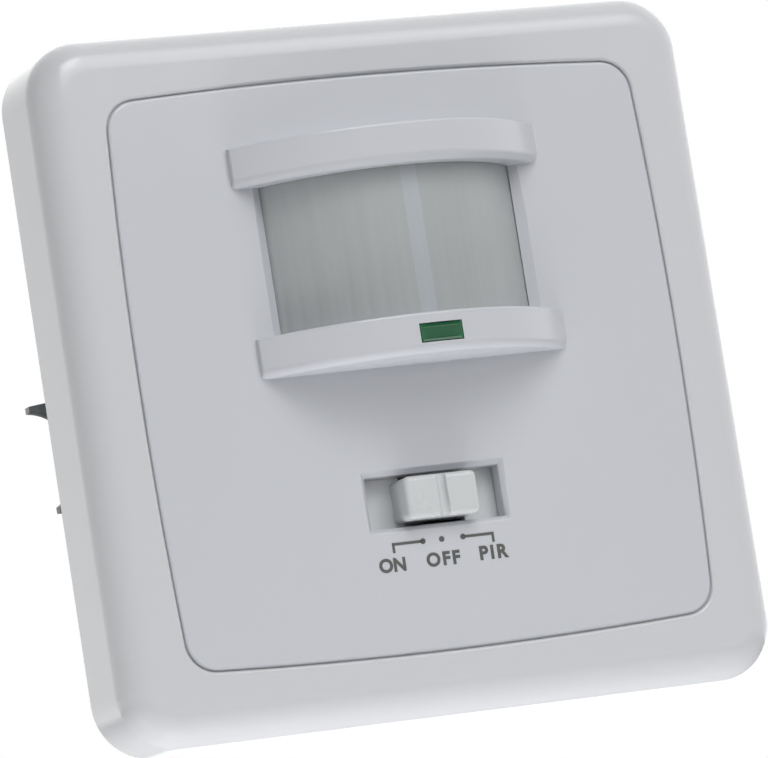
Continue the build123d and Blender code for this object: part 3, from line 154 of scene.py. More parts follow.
class SwitchColours(PropertyGroup):
    """Colours of the visible finishes."""

    frame: FloatVectorProperty(
        name="Frame",
        description="Outer frame plastic",
        default=(0.575, 0.585, 0.605),
        subtype="COLOR",
        min=0,
        max=1,
    )
    cover: FloatVectorProperty(
        name="Cover",
        description="Cover plastic",
        default=(0.545, 0.558, 0.592),
        subtype="COLOR",
        min=0,
        max=1,
    )
    lens: FloatVectorProperty(
        name="Lens",
        description="Milky lens sheet",
        default=(0.375, 0.395, 0.40),
        subtype="COLOR",
        min=0,
        max=1,
    )
    stripe: FloatVectorProperty(
        name="Stripe",
        description="Centre stripe of the lens",
        default=(0.415, 0.44, 0.47),
        subtype="COLOR",
        min=0,
        max=1,
    )
    knob: FloatVectorProperty(
        name="Knob", description="Slider plastic", default=(0.575, 0.59, 0.60), subtype="COLOR", min=0, max=1
    )
    ink: FloatVectorProperty(
        name="Ink",
        description="Printing on the cover",
        default=(0.065, 0.07, 0.065),
        subtype="COLOR",
        min=0,
        max=1,
    )
    lamp: FloatVectorProperty(
        name="Lamp",
        description="Green lamp epoxy",
        default=(0.006, 0.120, 0.042),
        subtype="COLOR",
        min=0,
        max=1,
    )
    claw: FloatVectorProperty(
        name="Claws",
        description="Dark steel of the claws",
        default=(0.040, 0.044, 0.048),
        subtype="COLOR",
        min=0,
        max=1,
    )


class StageSettings(PropertyGroup):
    """Lights, floor and surroundings."""

    key_power: FloatProperty(name="Key", description="Power of the key lamp", default=0.24, unit="POWER")
    top_power: FloatProperty(name="Top", description="Power of the lamp above", default=0.82, unit="POWER")
    soft_power: FloatProperty(name="Soft", description="Power of the wide lamp", default=2.9, unit="POWER")
    right_power: FloatProperty(
        name="Right",
        description="Power of the lamp at the right",
        default=0.26,
        unit="POWER",
    )
    low_power: FloatProperty(name="Low", description="Power of the lamp below", default=0.42, unit="POWER")
    low_left_power: FloatProperty(
        name="Low left", description="Power of the lamp at the lower left", default=0.35, unit="POWER"
    )
    rear_power: FloatProperty(name="Rear", description="Power of the lamp behind", default=3.8, unit="POWER")
    floor_glow: FloatProperty(
        name="Floor glow",
        description="How much lighter the camera sees the floor",
        default=0.55,
    )
    surround: FloatProperty(name="Surround", description="Strength of the even light all round", default=0.16)
    mirrored: FloatProperty(
        name="Mirrored",
        description="Strength of the surround in reflections",
        default=1.95,
    )
    floor_height: FloatProperty(
        name="Floor height", description="Height of the floor", default=-300 * MM, unit="LENGTH"
    )


# Modelling helpers
def make_active(piece):
    """Selects one piece and nothing else."""
    bpy.ops.object.select_all(action="DESELECT")
    piece.select_set(True)
    bpy.context.view_layer.objects.active = piece


def edit(piece):
    """Enters edit mode on one piece."""
    make_active(piece)
    bpy.ops.object.mode_set(mode="EDIT")
    bpy.ops.mesh.select_mode(type="FACE")


def leave_edit():
    bpy.ops.object.mode_set(mode="OBJECT")


def select_faces(piece, wanted):
    """Selects the faces that the test wants, in edit mode."""
    bpy.ops.mesh.select_mode(type="FACE")
    bpy.ops.mesh.select_all(action="DESELECT")
    mesh = bmesh.from_edit_mesh(piece.data)
    for face in mesh.faces:
        face.select_set(bool(wanted(face)))
    bmesh.update_edit_mesh(piece.data)


def select_vertices(piece, wanted):
    """Selects the vertices that the test wants, in edit mode."""
    bpy.ops.mesh.select_mode(type="VERT")
    bpy.ops.mesh.select_all(action="DESELECT")
    mesh = bmesh.from_edit_mesh(piece.data)
    for vertex in mesh.verts:
        vertex.select_set(bool(wanted(vertex)))
    mesh.select_flush_mode()
    bmesh.update_edit_mesh(piece.data)


def take_solid(node, name):
    """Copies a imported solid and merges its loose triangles."""
    piece = bpy.data.objects.new(name, frame["nodes"][node].data.copy())
    bpy.context.scene.collection.objects.link(piece)
    piece.data.materials.clear()
    make_active(piece)
    bpy.ops.mesh.customdata_custom_splitnormals_clear()
    edit(piece)
    bpy.ops.mesh.select_all(action="SELECT")
    bpy.ops.mesh.remove_doubles(threshold=MERGE)
    bpy.ops.mesh.dissolve_limited(angle_limit=FLAT)
    leave_edit()
    return piece


def soften_edges(piece, radius, segments=2, angle=40):
    """Rounds the sharp edges a little with a bevel that is applied."""
    make_active(piece)
    bpy.ops.object.modifier_add(type="BEVEL")
    bevel = piece.modifiers[-1]
    bevel.width = radius
    bevel.segments = segments
    bevel.limit_method = "ANGLE"
    bevel.angle_limit = math.radians(angle)
    bevel.miter_outer = "MITER_ARC"
    bpy.ops.object.modifier_apply(modifier=bevel.name)


def smooth(piece, crease=CREASE):
    """Smooth shading between creases, weighted by the size of the faces."""
    make_active(piece)
    bpy.ops.object.shade_smooth_by_angle(angle=crease)
    bpy.ops.object.modifier_add(type="WEIGHTED_NORMAL")
    weighted = piece.modifiers[-1]
    weighted.keep_sharp = True
    weighted.mode = "FACE_AREA_WITH_ANGLE"
    bpy.ops.object.modifier_apply(modifier=weighted.name)


def settle(piece, node, *materials):
    """Gives a piece its materials and lets it stand for its solid."""
    for finish in materials:
        piece.data.materials.append(finish)
    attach(piece, BODY_OF[node])
    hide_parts(node)


def dress(node, finish, radius=0):
    """A merged, softened and smooth copy of a solid, with its finish."""
    piece = take_solid(node, node + "_finished")
    if radius:
        soften_edges(piece, radius)
    smooth(piece)
    settle(piece, node, finish)


def apply_place(piece):
    """Puts a piece's place into its mesh."""
    make_active(piece)
    bpy.ops.object.transform_apply(location=True, rotation=True, scale=True)


def cover_front(x, z):
    """How far forward the crowned cover lies at a place on it."""
    rise = COVER_CENTRE_FRONT - COVER_EDGE_FRONT
    radius = (COVER_HALF**2 + rise**2) / (2 * rise)
    return COVER_CENTRE_FRONT - radius + math.sqrt(radius**2 - max(abs(x), abs(z)) ** 2)


# Shader groups
def new_group(name, inputs, outputs):
    """An empty shader node group with named sockets."""
    group = bpy.data.node_groups.new(name, "ShaderNodeTree")
    for label, kind, value in inputs:
        socket = group.interface.new_socket(name=label, in_out="INPUT", socket_type=kind)
        socket.default_value = value
    for label, kind in outputs:
        group.interface.new_socket(name=label, in_out="OUTPUT", socket_type=kind)
    start = group.nodes.new("NodeGroupInput")
    end = group.nodes.new("NodeGroupOutput")
    start.location = (-900, 0)
    end.location = (900, 0)
    return group, start, end


def noise(tree, place, scale, detail, roughness=0.5):
    """A noise pattern on object coordinates."""
    node = tree.nodes.new("ShaderNodeTexNoise")
    node.inputs["Scale"].default_value = scale
    node.inputs["Detail"].default_value = detail
    node.inputs["Roughness"].default_value = roughness
    tree.links.new(place, node.inputs["Vector"])
    return node


def spread(tree, value, low, high, out_low, out_high):
    """Maps one range onto another, with clamped ends."""
    node = tree.nodes.new("ShaderNodeMapRange")
    for label, number in (("From Min", low), ("From Max", high), ("To Min", out_low), ("To Max", out_high)):
        node.inputs[label].default_value = number
    tree.links.new(value, node.inputs["Value"])
    return node


def reckon(tree, operation, first, second):
    """One sum on two values, each a socket or a number."""
    node = tree.nodes.new("ShaderNodeMath")
    node.operation = operation
    for socket, value in zip(node.inputs, (first, second)):
        if isinstance(value, bpy.types.NodeSocket):
            tree.links.new(value, socket)
        else:
            socket.default_value = value
    return node.outputs[0]


def between(tree, mask, low, high):
    """A value that goes from low to high as the mask goes from 0 to 1."""
    span = reckon(tree, "SUBTRACT", high, low)
    return reckon(tree, "ADD", reckon(tree, "MULTIPLY", mask, span), low)


def blend_colour(tree, mask, first, second):
    """Blends two colours, each a socket or a colour, by a mask."""
    node = tree.nodes.new("ShaderNodeMix")
    node.data_type = "RGBA"
    for label, value in (("Factor", mask), ("A", first), ("B", second)):
        socket = next(s for s in node.inputs if s.name == label and s.enabled)
        if isinstance(value, bpy.types.NodeSocket):
            tree.links.new(value, socket)
        else:
            socket.default_value = value
    return next(s for s in node.outputs if s.enabled)


def moulded_skin():
    """Moulded plastic: faint mottling, fine sheen variation and a shallow grain."""
    name = "moulded skin"
    if name in bpy.data.node_groups:
        return bpy.data.node_groups[name]
    tree, start, end = new_group(
        name,
        [
            ("Colour", "NodeSocketColor", (0.6, 0.6, 0.6, 1)),
            ("Sheen Low", "NodeSocketFloat", 0.22),
            ("Sheen High", "NodeSocketFloat", 0.34),
            ("Mottle", "NodeSocketFloat", 0.02),
            ("Dust", "NodeSocketFloat", 0.05),
        ],
        [("Colour", "NodeSocketColor"), ("Roughness", "NodeSocketFloat"), ("Height", "NodeSocketFloat")],
    )
    place = tree.nodes.new("ShaderNodeTexCoord").outputs["Object"]
    cloud = noise(tree, place, 45, 2)
    grain = noise(tree, place, 2600, 2)
    specks = noise(tree, place, 1900, 1)
    scuffs = noise(tree, place, 320, 4, 0.65)
    mottle = spread(tree, cloud.outputs["Fac"], 0.3, 0.7, 0, 1).outputs[0]
    mottle = reckon(tree, "MULTIPLY", mottle, start.outputs["Mottle"])
    darker = blend_colour(tree, mottle, start.outputs["Colour"], (0.16, 0.16, 0.17, 1))
    speck_mask = spread(tree, specks.outputs["Fac"], 0.72, 0.78, 0, 1).outputs[0]
    speck_mask = reckon(tree, "MULTIPLY", speck_mask, start.outputs["Dust"])
    dusty = blend_colour(tree, speck_mask, darker, (0.30, 0.29, 0.27, 1))
    sheen = spread(tree, scuffs.outputs["Fac"], 0.35, 0.7, 0, 1).outputs[0]
    sheen = between(tree, sheen, start.outputs["Sheen Low"], start.outputs["Sheen High"])
    height = reckon(tree, "MULTIPLY", grain.outputs["Fac"], 0.6)
    waves = reckon(tree, "MULTIPLY", cloud.outputs["Fac"], 0.4)
    height = reckon(tree, "ADD", height, waves)
    tree.links.new(dusty, end.inputs["Colour"])
    tree.links.new(sheen, end.inputs["Roughness"])
    tree.links.new(height, end.inputs["Height"])
    return tree


def worked_metal():
    """Metal with drawn lines, stains and a fine height pattern."""
    name = "worked metal"
    if name in bpy.data.node_groups:
        return bpy.data.node_groups[name]
    tree, start, end = new_group(
        name,
        [
            ("Colour", "NodeSocketColor", (0.6, 0.6, 0.6, 1)),
            ("Stain", "NodeSocketColor", (0.3, 0.3, 0.3, 1)),
            ("Stain Amount", "NodeSocketFloat", 0.4),
            ("Sheen Low", "NodeSocketFloat", 0.25),
            ("Sheen High", "NodeSocketFloat", 0.45),
        ],
        [("Colour", "NodeSocketColor"), ("Roughness", "NodeSocketFloat"), ("Height", "NodeSocketFloat")],
    )
    place = tree.nodes.new("ShaderNodeTexCoord").outputs["Object"]
    stretch = tree.nodes.new("ShaderNodeMapping")
    stretch.inputs["Scale"].default_value = (1, 1, 14)
    tree.links.new(place, stretch.inputs["Vector"])
    lines = noise(tree, stretch.outputs["Vector"], 260, 4, 0.7)
    stains = noise(tree, place, 150, 5, 0.6)
    pits = noise(tree, place, 1500, 2)
    mask = spread(tree, stains.outputs["Fac"], 0.42, 0.68, 0, 1).outputs[0]
    mask = reckon(tree, "MULTIPLY", mask, start.outputs["Stain Amount"])
    colour = blend_colour(tree, mask, start.outputs["Colour"], start.outputs["Stain"])
    sheen = spread(tree, lines.outputs["Fac"], 0.3, 0.7, 0, 1).outputs[0]
    sheen = between(tree, sheen, start.outputs["Sheen Low"], start.outputs["Sheen High"])
    height = reckon(tree, "ADD", lines.outputs["Fac"], pits.outputs["Fac"])
    tree.links.new(colour, end.inputs["Colour"])
    tree.links.new(sheen, end.inputs["Roughness"])
    tree.links.new(height, end.inputs["Height"])
    return tree


# Materials
def new_material(name):
    """A material with an empty Principled shader."""
    material = bpy.data.materials.new(name)
    material.use_nodes = True
    return material, material.node_tree, material.node_tree.nodes["Principled BSDF"]


def add_bump(tree, shader, height, depth):
    """Feeds a height into the shader's normal."""
    bump = tree.nodes.new("ShaderNodeBump")
    bump.inputs["Strength"].default_value = 1
    bump.inputs["Distance"].default_value = depth
    tree.links.new(height, bump.inputs["Height"])
    tree.links.new(bump.outputs["Normal"], shader.inputs["Normal"])


def plastic(name, colour, sheen=(0.19, 0.24), mottle=0.006, dust=0.012, depth=0.001 * MM):
    """Moulded plastic in one colour."""
    material, tree, shader = new_material(name)
    skin = tree.nodes.new("ShaderNodeGroup")
    skin.node_tree = moulded_skin()
    skin.inputs["Colour"].default_value = (*colour, 1)
    skin.inputs["Sheen Low"].default_value = sheen[0]
    skin.inputs["Sheen High"].default_value = sheen[1]
    skin.inputs["Mottle"].default_value = mottle
    skin.inputs["Dust"].default_value = dust
    tree.links.new(skin.outputs["Colour"], shader.inputs["Base Color"])
    tree.links.new(skin.outputs["Roughness"], shader.inputs["Roughness"])
    shader.inputs["IOR"].default_value = 1.5
    add_bump(tree, shader, skin.outputs["Height"], depth)
    return material


def metal(name, colour, stain, amount=0.4, sheen=(0.25, 0.45), depth=0.004 * MM, metallic=1.0):
    """Plated or worked metal in one colour."""
    material, tree, shader = new_material(name)
    work = tree.nodes.new("ShaderNodeGroup")
    work.node_tree = worked_metal()
    work.inputs["Colour"].default_value = (*colour, 1)
    work.inputs["Stain"].default_value = (*stain, 1)
    work.inputs["Stain Amount"].default_value = amount
    work.inputs["Sheen Low"].default_value = sheen[0]
    work.inputs["Sheen High"].default_value = sheen[1]
    tree.links.new(work.outputs["Colour"], shader.inputs["Base Color"])
    tree.links.new(work.outputs["Roughness"], shader.inputs["Roughness"])
    shader.inputs["Metallic"].default_value = metallic
    add_bump(tree, shader, work.outputs["Height"], depth)
    return material


def milky(name, colour):
    """Thin milky sheet with faint upright streaks."""
    material, tree, shader = new_material(name)
    skin = tree.nodes.new("ShaderNodeGroup")
    skin.node_tree = moulded_skin()
    skin.inputs["Sheen Low"].default_value = 0.38
    skin.inputs["Sheen High"].default_value = 0.5
    skin.inputs["Mottle"].default_value = 0.03
    place = tree.nodes.new("ShaderNodeTexCoord").outputs["Object"]
    stretch = tree.nodes.new("ShaderNodeMapping")
    stretch.inputs["Scale"].default_value = (1, 1, 0.04)
    tree.links.new(place, stretch.inputs["Vector"])
    streaks = noise(tree, stretch.outputs["Vector"], 900, 2)
    mask = spread(tree, streaks.outputs["Fac"], 0.35, 0.65, 0, 0.14).outputs[0]
    darker = tuple(channel * 0.72 for channel in colour)
    tree.links.new(blend_colour(tree, mask, (*colour, 1), (*darker, 1)), skin.inputs["Colour"])
    tree.links.new(skin.outputs["Colour"], shader.inputs["Base Color"])
    tree.links.new(skin.outputs["Roughness"], shader.inputs["Roughness"])
    shader.inputs["IOR"].default_value = 1.45
    height = reckon(tree, "ADD", skin.outputs["Height"], reckon(tree, "MULTIPLY", streaks.outputs["Fac"], 3))
    add_bump(tree, shader, height, 0.006 * MM)
    return material


def lamp_epoxy(colour):
    """Tinted clear epoxy whose colour is darker in the middle than towards its two sides."""
    material, tree, shader = new_material("lamp_green")
    place = tree.nodes.new("ShaderNodeTexCoord").outputs["Object"]
    parts = tree.nodes.new("ShaderNodeSeparateXYZ")
    tree.links.new(place, parts.inputs[0])
    from_middle = reckon(tree, "ABSOLUTE", parts.outputs["X"], 0)
    mask = spread(tree, from_middle, 1.5 * MM, 2.45 * MM, 0, 1).outputs[0]
    cloud = noise(tree, place, 700, 3)
    mask = reckon(tree, "MULTIPLY", mask, spread(tree, cloud.outputs["Fac"], 0.3, 0.7, 0.7, 1).outputs[0])
    darker_middle = tuple(channel * 0.7 for channel in colour)
    tree.links.new(blend_colour(tree, mask, (*darker_middle, 1), (*colour, 1)), shader.inputs["Base Color"])
    sheen = spread(tree, cloud.outputs["Fac"], 0.3, 0.7, 0.1, 0.2).outputs[0]
    tree.links.new(sheen, shader.inputs["Roughness"])
    shader.inputs["IOR"].default_value = 1.32
    add_bump(tree, shader, cloud.outputs["Fac"], 0.01 * MM)
    return material


# Stage
def add_lamp(name, place, target, size, power, mirrored):
    """A square area lamp that points at a target and may be left out of reflections."""
    bpy.ops.object.light_add(type="AREA", location=place)
    lamp = bpy.context.active_object
    lamp.name = name
    lamp.data.shape = "SQUARE"
    lamp.data.size = size
    lamp.data.energy = power
    lamp.visible_glossy = mirrored
    lamp.rotation_euler = (Vector(target) - Vector(place)).to_track_quat("-Z", "Y").to_euler()


def add_camera():
    """The camera at the photograph's place, turn, focal length and shift."""
    yaw = math.radians(23.058)
    pitch = math.radians(7.139)
    roll = math.radians(8.938)
    distance = 724.56 * MM
    forward = Vector((math.sin(yaw) * math.cos(pitch), math.cos(yaw) * math.cos(pitch), math.sin(pitch)))
    right = Vector((math.cos(yaw), -math.sin(yaw), 0))
    up = right.cross(forward)
    across = right * math.cos(roll) - up * math.sin(roll)
    upward = right * math.sin(roll) + up * math.cos(roll)
    turn = Matrix((across, upward, -forward)).transposed()
    bpy.ops.object.camera_add(location=-forward * distance, rotation=turn.to_euler())
    camera = bpy.context.active_object
    camera.name = "Photo_camera"
    camera.data.sensor_width = 36
    camera.data.lens = 297.15
    camera.data.shift_x = 0.01272
    camera.data.shift_y = -0.00125
    camera.data.clip_start = 0.01
    camera.data.clip_end = 20
    bpy.context.scene.camera = camera


def light_surround(strength, mirrored):
    """An even surround that lights the object, shines in its surfaces and shows white behind it."""
    world = bpy.context.scene.world or bpy.data.worlds.new("Surround")
    bpy.context.scene.world = world
    world.use_nodes = True
    tree = world.node_tree
    tree.nodes.clear()
    rays = tree.nodes.new("ShaderNodeLightPath").outputs
    mirror = reckon(tree, "MAXIMUM", rays["Is Glossy Ray"], rays["Is Transmission Ray"])
    layers = ((SKY_TINT, strength, None), (WHITE, mirrored, mirror), (WHITE, 1, rays["Is Camera Ray"]))
    shown = None
    for colour, power, mask in layers:
        layer = tree.nodes.new("ShaderNodeBackground")
        layer.inputs["Color"].default_value = colour
        layer.inputs["Strength"].default_value = power
        if mask is None:
            shown = layer.outputs[0]
            continue
        mix = tree.nodes.new("ShaderNodeMixShader")
        tree.links.new(mask, mix.inputs[0])
        tree.links.new(shown, mix.inputs[1])
        tree.links.new(layer.outputs[0], mix.inputs[2])
        shown = mix.outputs[0]
    out = tree.nodes.new("ShaderNodeOutputWorld")
    tree.links.new(shown, out.inputs["Surface"])


def floor_paper(glow):
    """White paper that the camera sees lighter than it is lit, so that only shadows stand out."""
    paper = plastic("floor_paper", (0.80, 0.80, 0.80), (0.75, 0.85), 0.01, 0, 0.02 * MM)
    tree = paper.node_tree
    shader = tree.nodes["Principled BSDF"]
    shader.inputs["Emission Color"].default_value = WHITE
    seen = tree.nodes.new("ShaderNodeLightPath").outputs["Is Camera Ray"]
    tree.links.new(reckon(tree, "MULTIPLY", seen, glow), shader.inputs["Emission Strength"])
    return paper


class SWITCH_OT_stage(Operator):
    """Set the floor, the surround, the lamps and the camera"""

    bl_idname = "light_switch.set_stage"
    bl_label = "Set Stage"

    def execute(self, context):
        stage = context.scene.switch_stage
        bpy.ops.object.select_all(action="DESELECT")
        bpy.ops.mesh.primitive_plane_add(size=3, location=(0, 0, stage.floor_height))
        floor = context.active_object
        floor.name = "Floor"
        floor.data.materials.append(floor_paper(stage.floor_glow))
        apply_place(floor)
        for name, (place, target, size, mirrored) in LAMPS.items():
            add_lamp(name + "_lamp", place, target, size, getattr(stage, name.lower() + "_power"), mirrored)
        light_surround(stage.surround, stage.mirrored)
        add_camera()
        context.scene.view_settings.view_transform = "Standard"
        return {"FINISHED"}


# Front pieces
class SWITCH_OT_frame(Operator):
    """Finish the outer frame"""

    bl_idname = "light_switch.make_frame"
    bl_label = "Outer Frame"

    def execute(self, context):
        colours = context.scene.switch_colours
        dress("outer_frame", plastic("frame_white", colours.frame))
        return {"FINISHED"}


class SWITCH_OT_cover(Operator):
    """Finish the cover with its bars, window and recess"""

    bl_idname = "light_switch.make_cover"
    bl_label = "Cover"

    def execute(self, context):
        colours = context.scene.switch_colours
        dress("front_cover", plastic("cover_white", colours.cover))
        return {"FINISHED"}


class SWITCH_OT_lens(Operator):
    """Make the fluted lens sheet and its retainer"""

    bl_idname = "light_switch.make_lens"
    bl_label = "Lens"

    def execute(self, context):
        sizes = context.scene.switch_sizes
        colours = context.scene.switch_colours
        low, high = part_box("fresnel_lens")
        axis = LENS_FRONT - LENS_RADIUS
        reach = math.asin(high.x / LENS_RADIUS)
        bpy.ops.object.select_all(action="DESELECT")
        bpy.ops.mesh.primitive_plane_add(size=high.z - low.z, location=(0, 0, (low.z + high.z) / 2))
        lens = context.active_object
        lens.name = "lens_sheet"
        apply_place(lens)
        edit(lens)
        bpy.ops.mesh.select_all(action="SELECT")
        bpy.ops.mesh.delete(type="ONLY_FACE")
        select_vertices(lens, lambda v: v.co.y > 0)
        bpy.ops.mesh.delete(type="VERT")
        mesh = bmesh.from_edit_mesh(lens.data)
        ends = list(mesh.verts)
        ends[0].co = (low.x, -(axis + LENS_RADIUS * math.cos(reach)), low.z)
        ends[1].co = (low.x, -(axis + LENS_RADIUS * math.cos(reach)), high.z)
        bmesh.update_edit_mesh(lens.data)
        bpy.ops.mesh.select_all(action="SELECT")
        bpy.ops.mesh.spin(
            steps=sizes.flute_count * LENS_STEPS_PER_FLUTE,
            angle=-2 * reach,
            center=(0, -axis, 0),
            axis=(0, 0, 1),
            use_auto_merge=False,
        )
        leave_edit()
        groove = 2 * reach / sizes.flute_count
        self.sink_grooves(lens, axis, reach, groove, sizes.flute_depth)
        edit(lens)
        bpy.ops.mesh.select_all(action="SELECT")
        bpy.ops.mesh.normals_make_consistent(inside=False)
        leave_edit()
        self.face_forwards(lens)
        make_active(lens)
        bpy.ops.object.modifier_add(type="SOLIDIFY")
        wall = lens.modifiers[-1]
        wall.thickness = sizes.lens_thickness
        wall.offset = -1
        bpy.ops.object.modifier_apply(modifier=wall.name)
        smooth(lens, LENS_CREASE)
        settle(lens, "fresnel_lens", milky("lens_milk", colours.lens), milky("lens_stripe", colours.stripe))
        for face in lens.data.polygons:
            if abs(face.center.x) < sizes.stripe_half_width:
                face.material_index = 1
        dress("lens_retainer", plastic("retainer_white", (0.62, 0.62, 0.60), (0.4, 0.5)))
        return {"FINISHED"}

    def sink_grooves(self, lens, axis, reach, groove, depth):
        """Draws the seams between the flutes inwards."""
        edit(lens)

        def on_seam(vertex):
            turn = math.atan2(vertex.co.x, -vertex.co.y - axis) + reach
            share = turn / groove
            return abs(share - round(share)) * groove < groove / 20

        select_vertices(lens, on_seam)
        scale = 1 - depth / LENS_RADIUS
        bpy.ops.transform.resize(value=(scale, scale, 1), center_override=(0, -axis, 0))
        leave_edit()

    def face_forwards(self, lens):
        """Turns the sheet's faces to the front before it gets its wall."""
        middle = min(lens.data.polygons, key=lambda face: abs(face.center.x))
        if middle.normal.y > 0:
            edit(lens)
            bpy.ops.mesh.select_all(action="SELECT")
            bpy.ops.mesh.flip_normals()
            leave_edit()


class SWITCH_OT_lamp(Operator):
    """Make the green indicator lamp with its rimmed face"""

    bl_idname = "light_switch.make_lamp"
    bl_label = "Lamp"

    def execute(self, context):
        sizes = context.scene.switch_sizes
        colours = context.scene.switch_colours
        lamp = take_solid("indicator_led", "lamp_body")
        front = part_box("indicator_led")[0].y
        edit(lamp)
        reach = front + LAMP_FACE_DEPTH
        select_faces(lamp, lambda face: face.calc_center_median().y < reach and face.normal.y < -0.9)
        bpy.ops.mesh.inset(thickness=sizes.lamp_rim)
        bpy.ops.transform.translate(value=(0, sizes.lamp_dish, 0))
        bpy.ops.mesh.inset(thickness=sizes.lamp_rim / 3)
        bpy.ops.transform.translate(value=(0, -sizes.lamp_dish / 3, 0))
        leave_edit()
        soften_edges(lamp, LAMP_EDGE_RADIUS, 3, 25)
        smooth(lamp)
        leads = ((0.6, 0.6, 0.58), (0.4, 0.4, 0.4))
        settle(lamp, "indicator_led", lamp_epoxy(colours.lamp), metal("lamp_leads", *leads))
        for face in lamp.data.polygons:
            if face.center.y > front + LAMP_BODY_DEPTH:
                face.material_index = 1
        return {"FINISHED"}


class SWITCH_OT_knob(Operator):
    """Finish the slider knob with its shutter"""

    bl_idname = "light_switch.make_knob"
    bl_label = "Slider Knob"

    def execute(self, context):
        sizes = context.scene.switch_sizes
        colours = context.scene.switch_colours
        dress("slider_knob", plastic("knob_white", colours.knob, (0.2, 0.3)), sizes.edge_radius)
        return {"FINISHED"}


class SWITCH_OT_lettering(Operator):
    """Print the positions and their marks on the cover"""

    bl_idname = "light_switch.print_lettering"
    bl_label = "Lettering"

    def execute(self, context):
        colours = context.scene.switch_colours
        ink = plastic("print_ink", colours.ink, (0.5, 0.65), 0.08, 0)
        for word, (x, z, spacing) in WORDS.items():
            self.print_word(context, word, x * MM, z * MM, spacing, ink)
        self.print_marks(context, ink)
        return {"FINISHED"}

    def print_word(self, context, word, x, z, spacing, ink):
        """One word as a thin raised print."""
        sizes = context.scene.switch_sizes
        bpy.ops.object.select_all(action="DESELECT")
        bpy.ops.object.text_add()
        text = context.active_object
        text.name = "print_" + word.lower()
        text.data.body = word
        text.data.align_x = "CENTER"
        text.data.align_y = "CENTER"
        text.data.size = 1
        text.data.offset = 0.04
        text.data.space_character = spacing
        text.data.extrude = 0.5
        text.data.resolution_u = 6
        bpy.ops.object.convert(target="MESH")
        text = context.active_object
        height = text.dimensions.y
        scale = sizes.letter_height / height
        text.scale = (scale, scale, 3 * sizes.ink_thickness)
        text.rotation_euler = (math.radians(90), 0, 0)
        text.location = (x, 0, z)
        apply_place(text)
        self.lay_on_cover(text)
        self.settle_print(text, ink)

    def print_marks(self, context, ink):
        """A dot for each position, with a bracket from the outer dots to their words."""
        sizes = context.scene.switch_sizes
        half = sizes.mark_line / 2
        made = []
        for x in (-MARK_OUTER, MARK_MIDDLE, MARK_OUTER):
            bpy.ops.object.select_all(action="DESELECT")
            bpy.ops.mesh.primitive_circle_add(
                vertices=28,
                radius=sizes.dot_radius,
                fill_type="NGON",
                location=(x, 0, MARK_HEIGHT),
                rotation=(math.radians(90), 0, 0),
            )
            made.append(context.active_object)
        for side in (-1, 1):
            middle = side * (MARK_OUTER + MARK_END) / 2
            made.append(self.add_bar(context, middle, MARK_HEIGHT, (MARK_END - MARK_OUTER) / 2, half))
            upright = side * (MARK_END - half)
            made.append(
                self.add_bar(context, upright, MARK_HEIGHT - MARK_DROP / 2, half, MARK_DROP / 2 + half)
            )
        for number, mark in enumerate(made):
            mark.name = "print_mark_" + str(number + 1)
            apply_place(mark)
            edit(mark)
            bpy.ops.mesh.select_all(action="SELECT")
            bpy.ops.mesh.extrude_region_move(
                TRANSFORM_OT_translate={"value": (0, -3 * sizes.ink_thickness, 0)}
            )
            bpy.ops.mesh.select_all(action="SELECT")
            bpy.ops.transform.translate(value=(0, 1.5 * sizes.ink_thickness, 0))
            bpy.ops.mesh.normals_make_consistent(inside=False)
            leave_edit()
            self.lay_on_cover(mark)
            self.settle_print(mark, ink)

    def add_bar(self, context, x, z, half_length, half_height):
        """A flat bar of the marks."""
        bpy.ops.object.select_all(action="DESELECT")
        bpy.ops.mesh.primitive_plane_add(size=1, location=(x, 0, z), rotation=(math.radians(90), 0, 0))
        bar = context.active_object
        bar.scale = (2 * half_length, 2 * half_height, 1)
        return bar

    def lay_on_cover(self, piece):
        """Moves each point forward onto the crowned cover."""
        for vertex in piece.data.vertices:
            vertex.co.y -= cover_front(vertex.co.x, vertex.co.z)

    def settle_print(self, piece, ink):
        """Gives the print its ink and lets it ride with the cover."""
        piece.data.materials.append(ink)
        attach(piece, BODY_OF["front_cover"])


# Pieces behind the cover and inside the wall
class SWITCH_OT_fixings(Operator):
    """Finish the support ring, its screws and the claws"""

    bl_idname = "light_switch.make_fixings"
    bl_label = "Fixings"

    def execute(self, context):
        colours = context.scene.switch_colours
        sheet = metal("zinc_sheet", (0.52, 0.53, 0.54), (0.38, 0.39, 0.40), 0.5, (0.34, 0.5))
        zinc = metal("zinc_screws", (0.62, 0.62, 0.63), (0.45, 0.45, 0.46), 0.4, (0.2, 0.35))
        dark = metal("claw_steel", colours.claw, (0.16, 0.16, 0.15), 0.5, (0.32, 0.5), metallic=0.8)
        dress("support_ring", sheet, RING_EDGE_RADIUS)
        for node in ("ring_screws", "rear_screws", "retainer_screws", "board_screws"):
            dress(node, zinc)
        for side in ("left", "right"):
            dress("claw_" + side, dark, CLAW_EDGE_RADIUS)
            dress("claw_nut_" + side, dark, NUT_EDGE_RADIUS)
            dress("claw_screw_" + side, zinc)
        return {"FINISHED"}


class SWITCH_OT_housing(Operator):
    """Finish the housing and its rear cover"""

    bl_idname = "light_switch.make_housing"
    bl_label = "Housing"

    def execute(self, context):
        white = plastic("housing_white", (0.66, 0.66, 0.64), (0.42, 0.55), 0.04, 0.1, 0.01 * MM)
        dress("base_housing", white)
        dress("rear_cover", white)
        return {"FINISHED"}


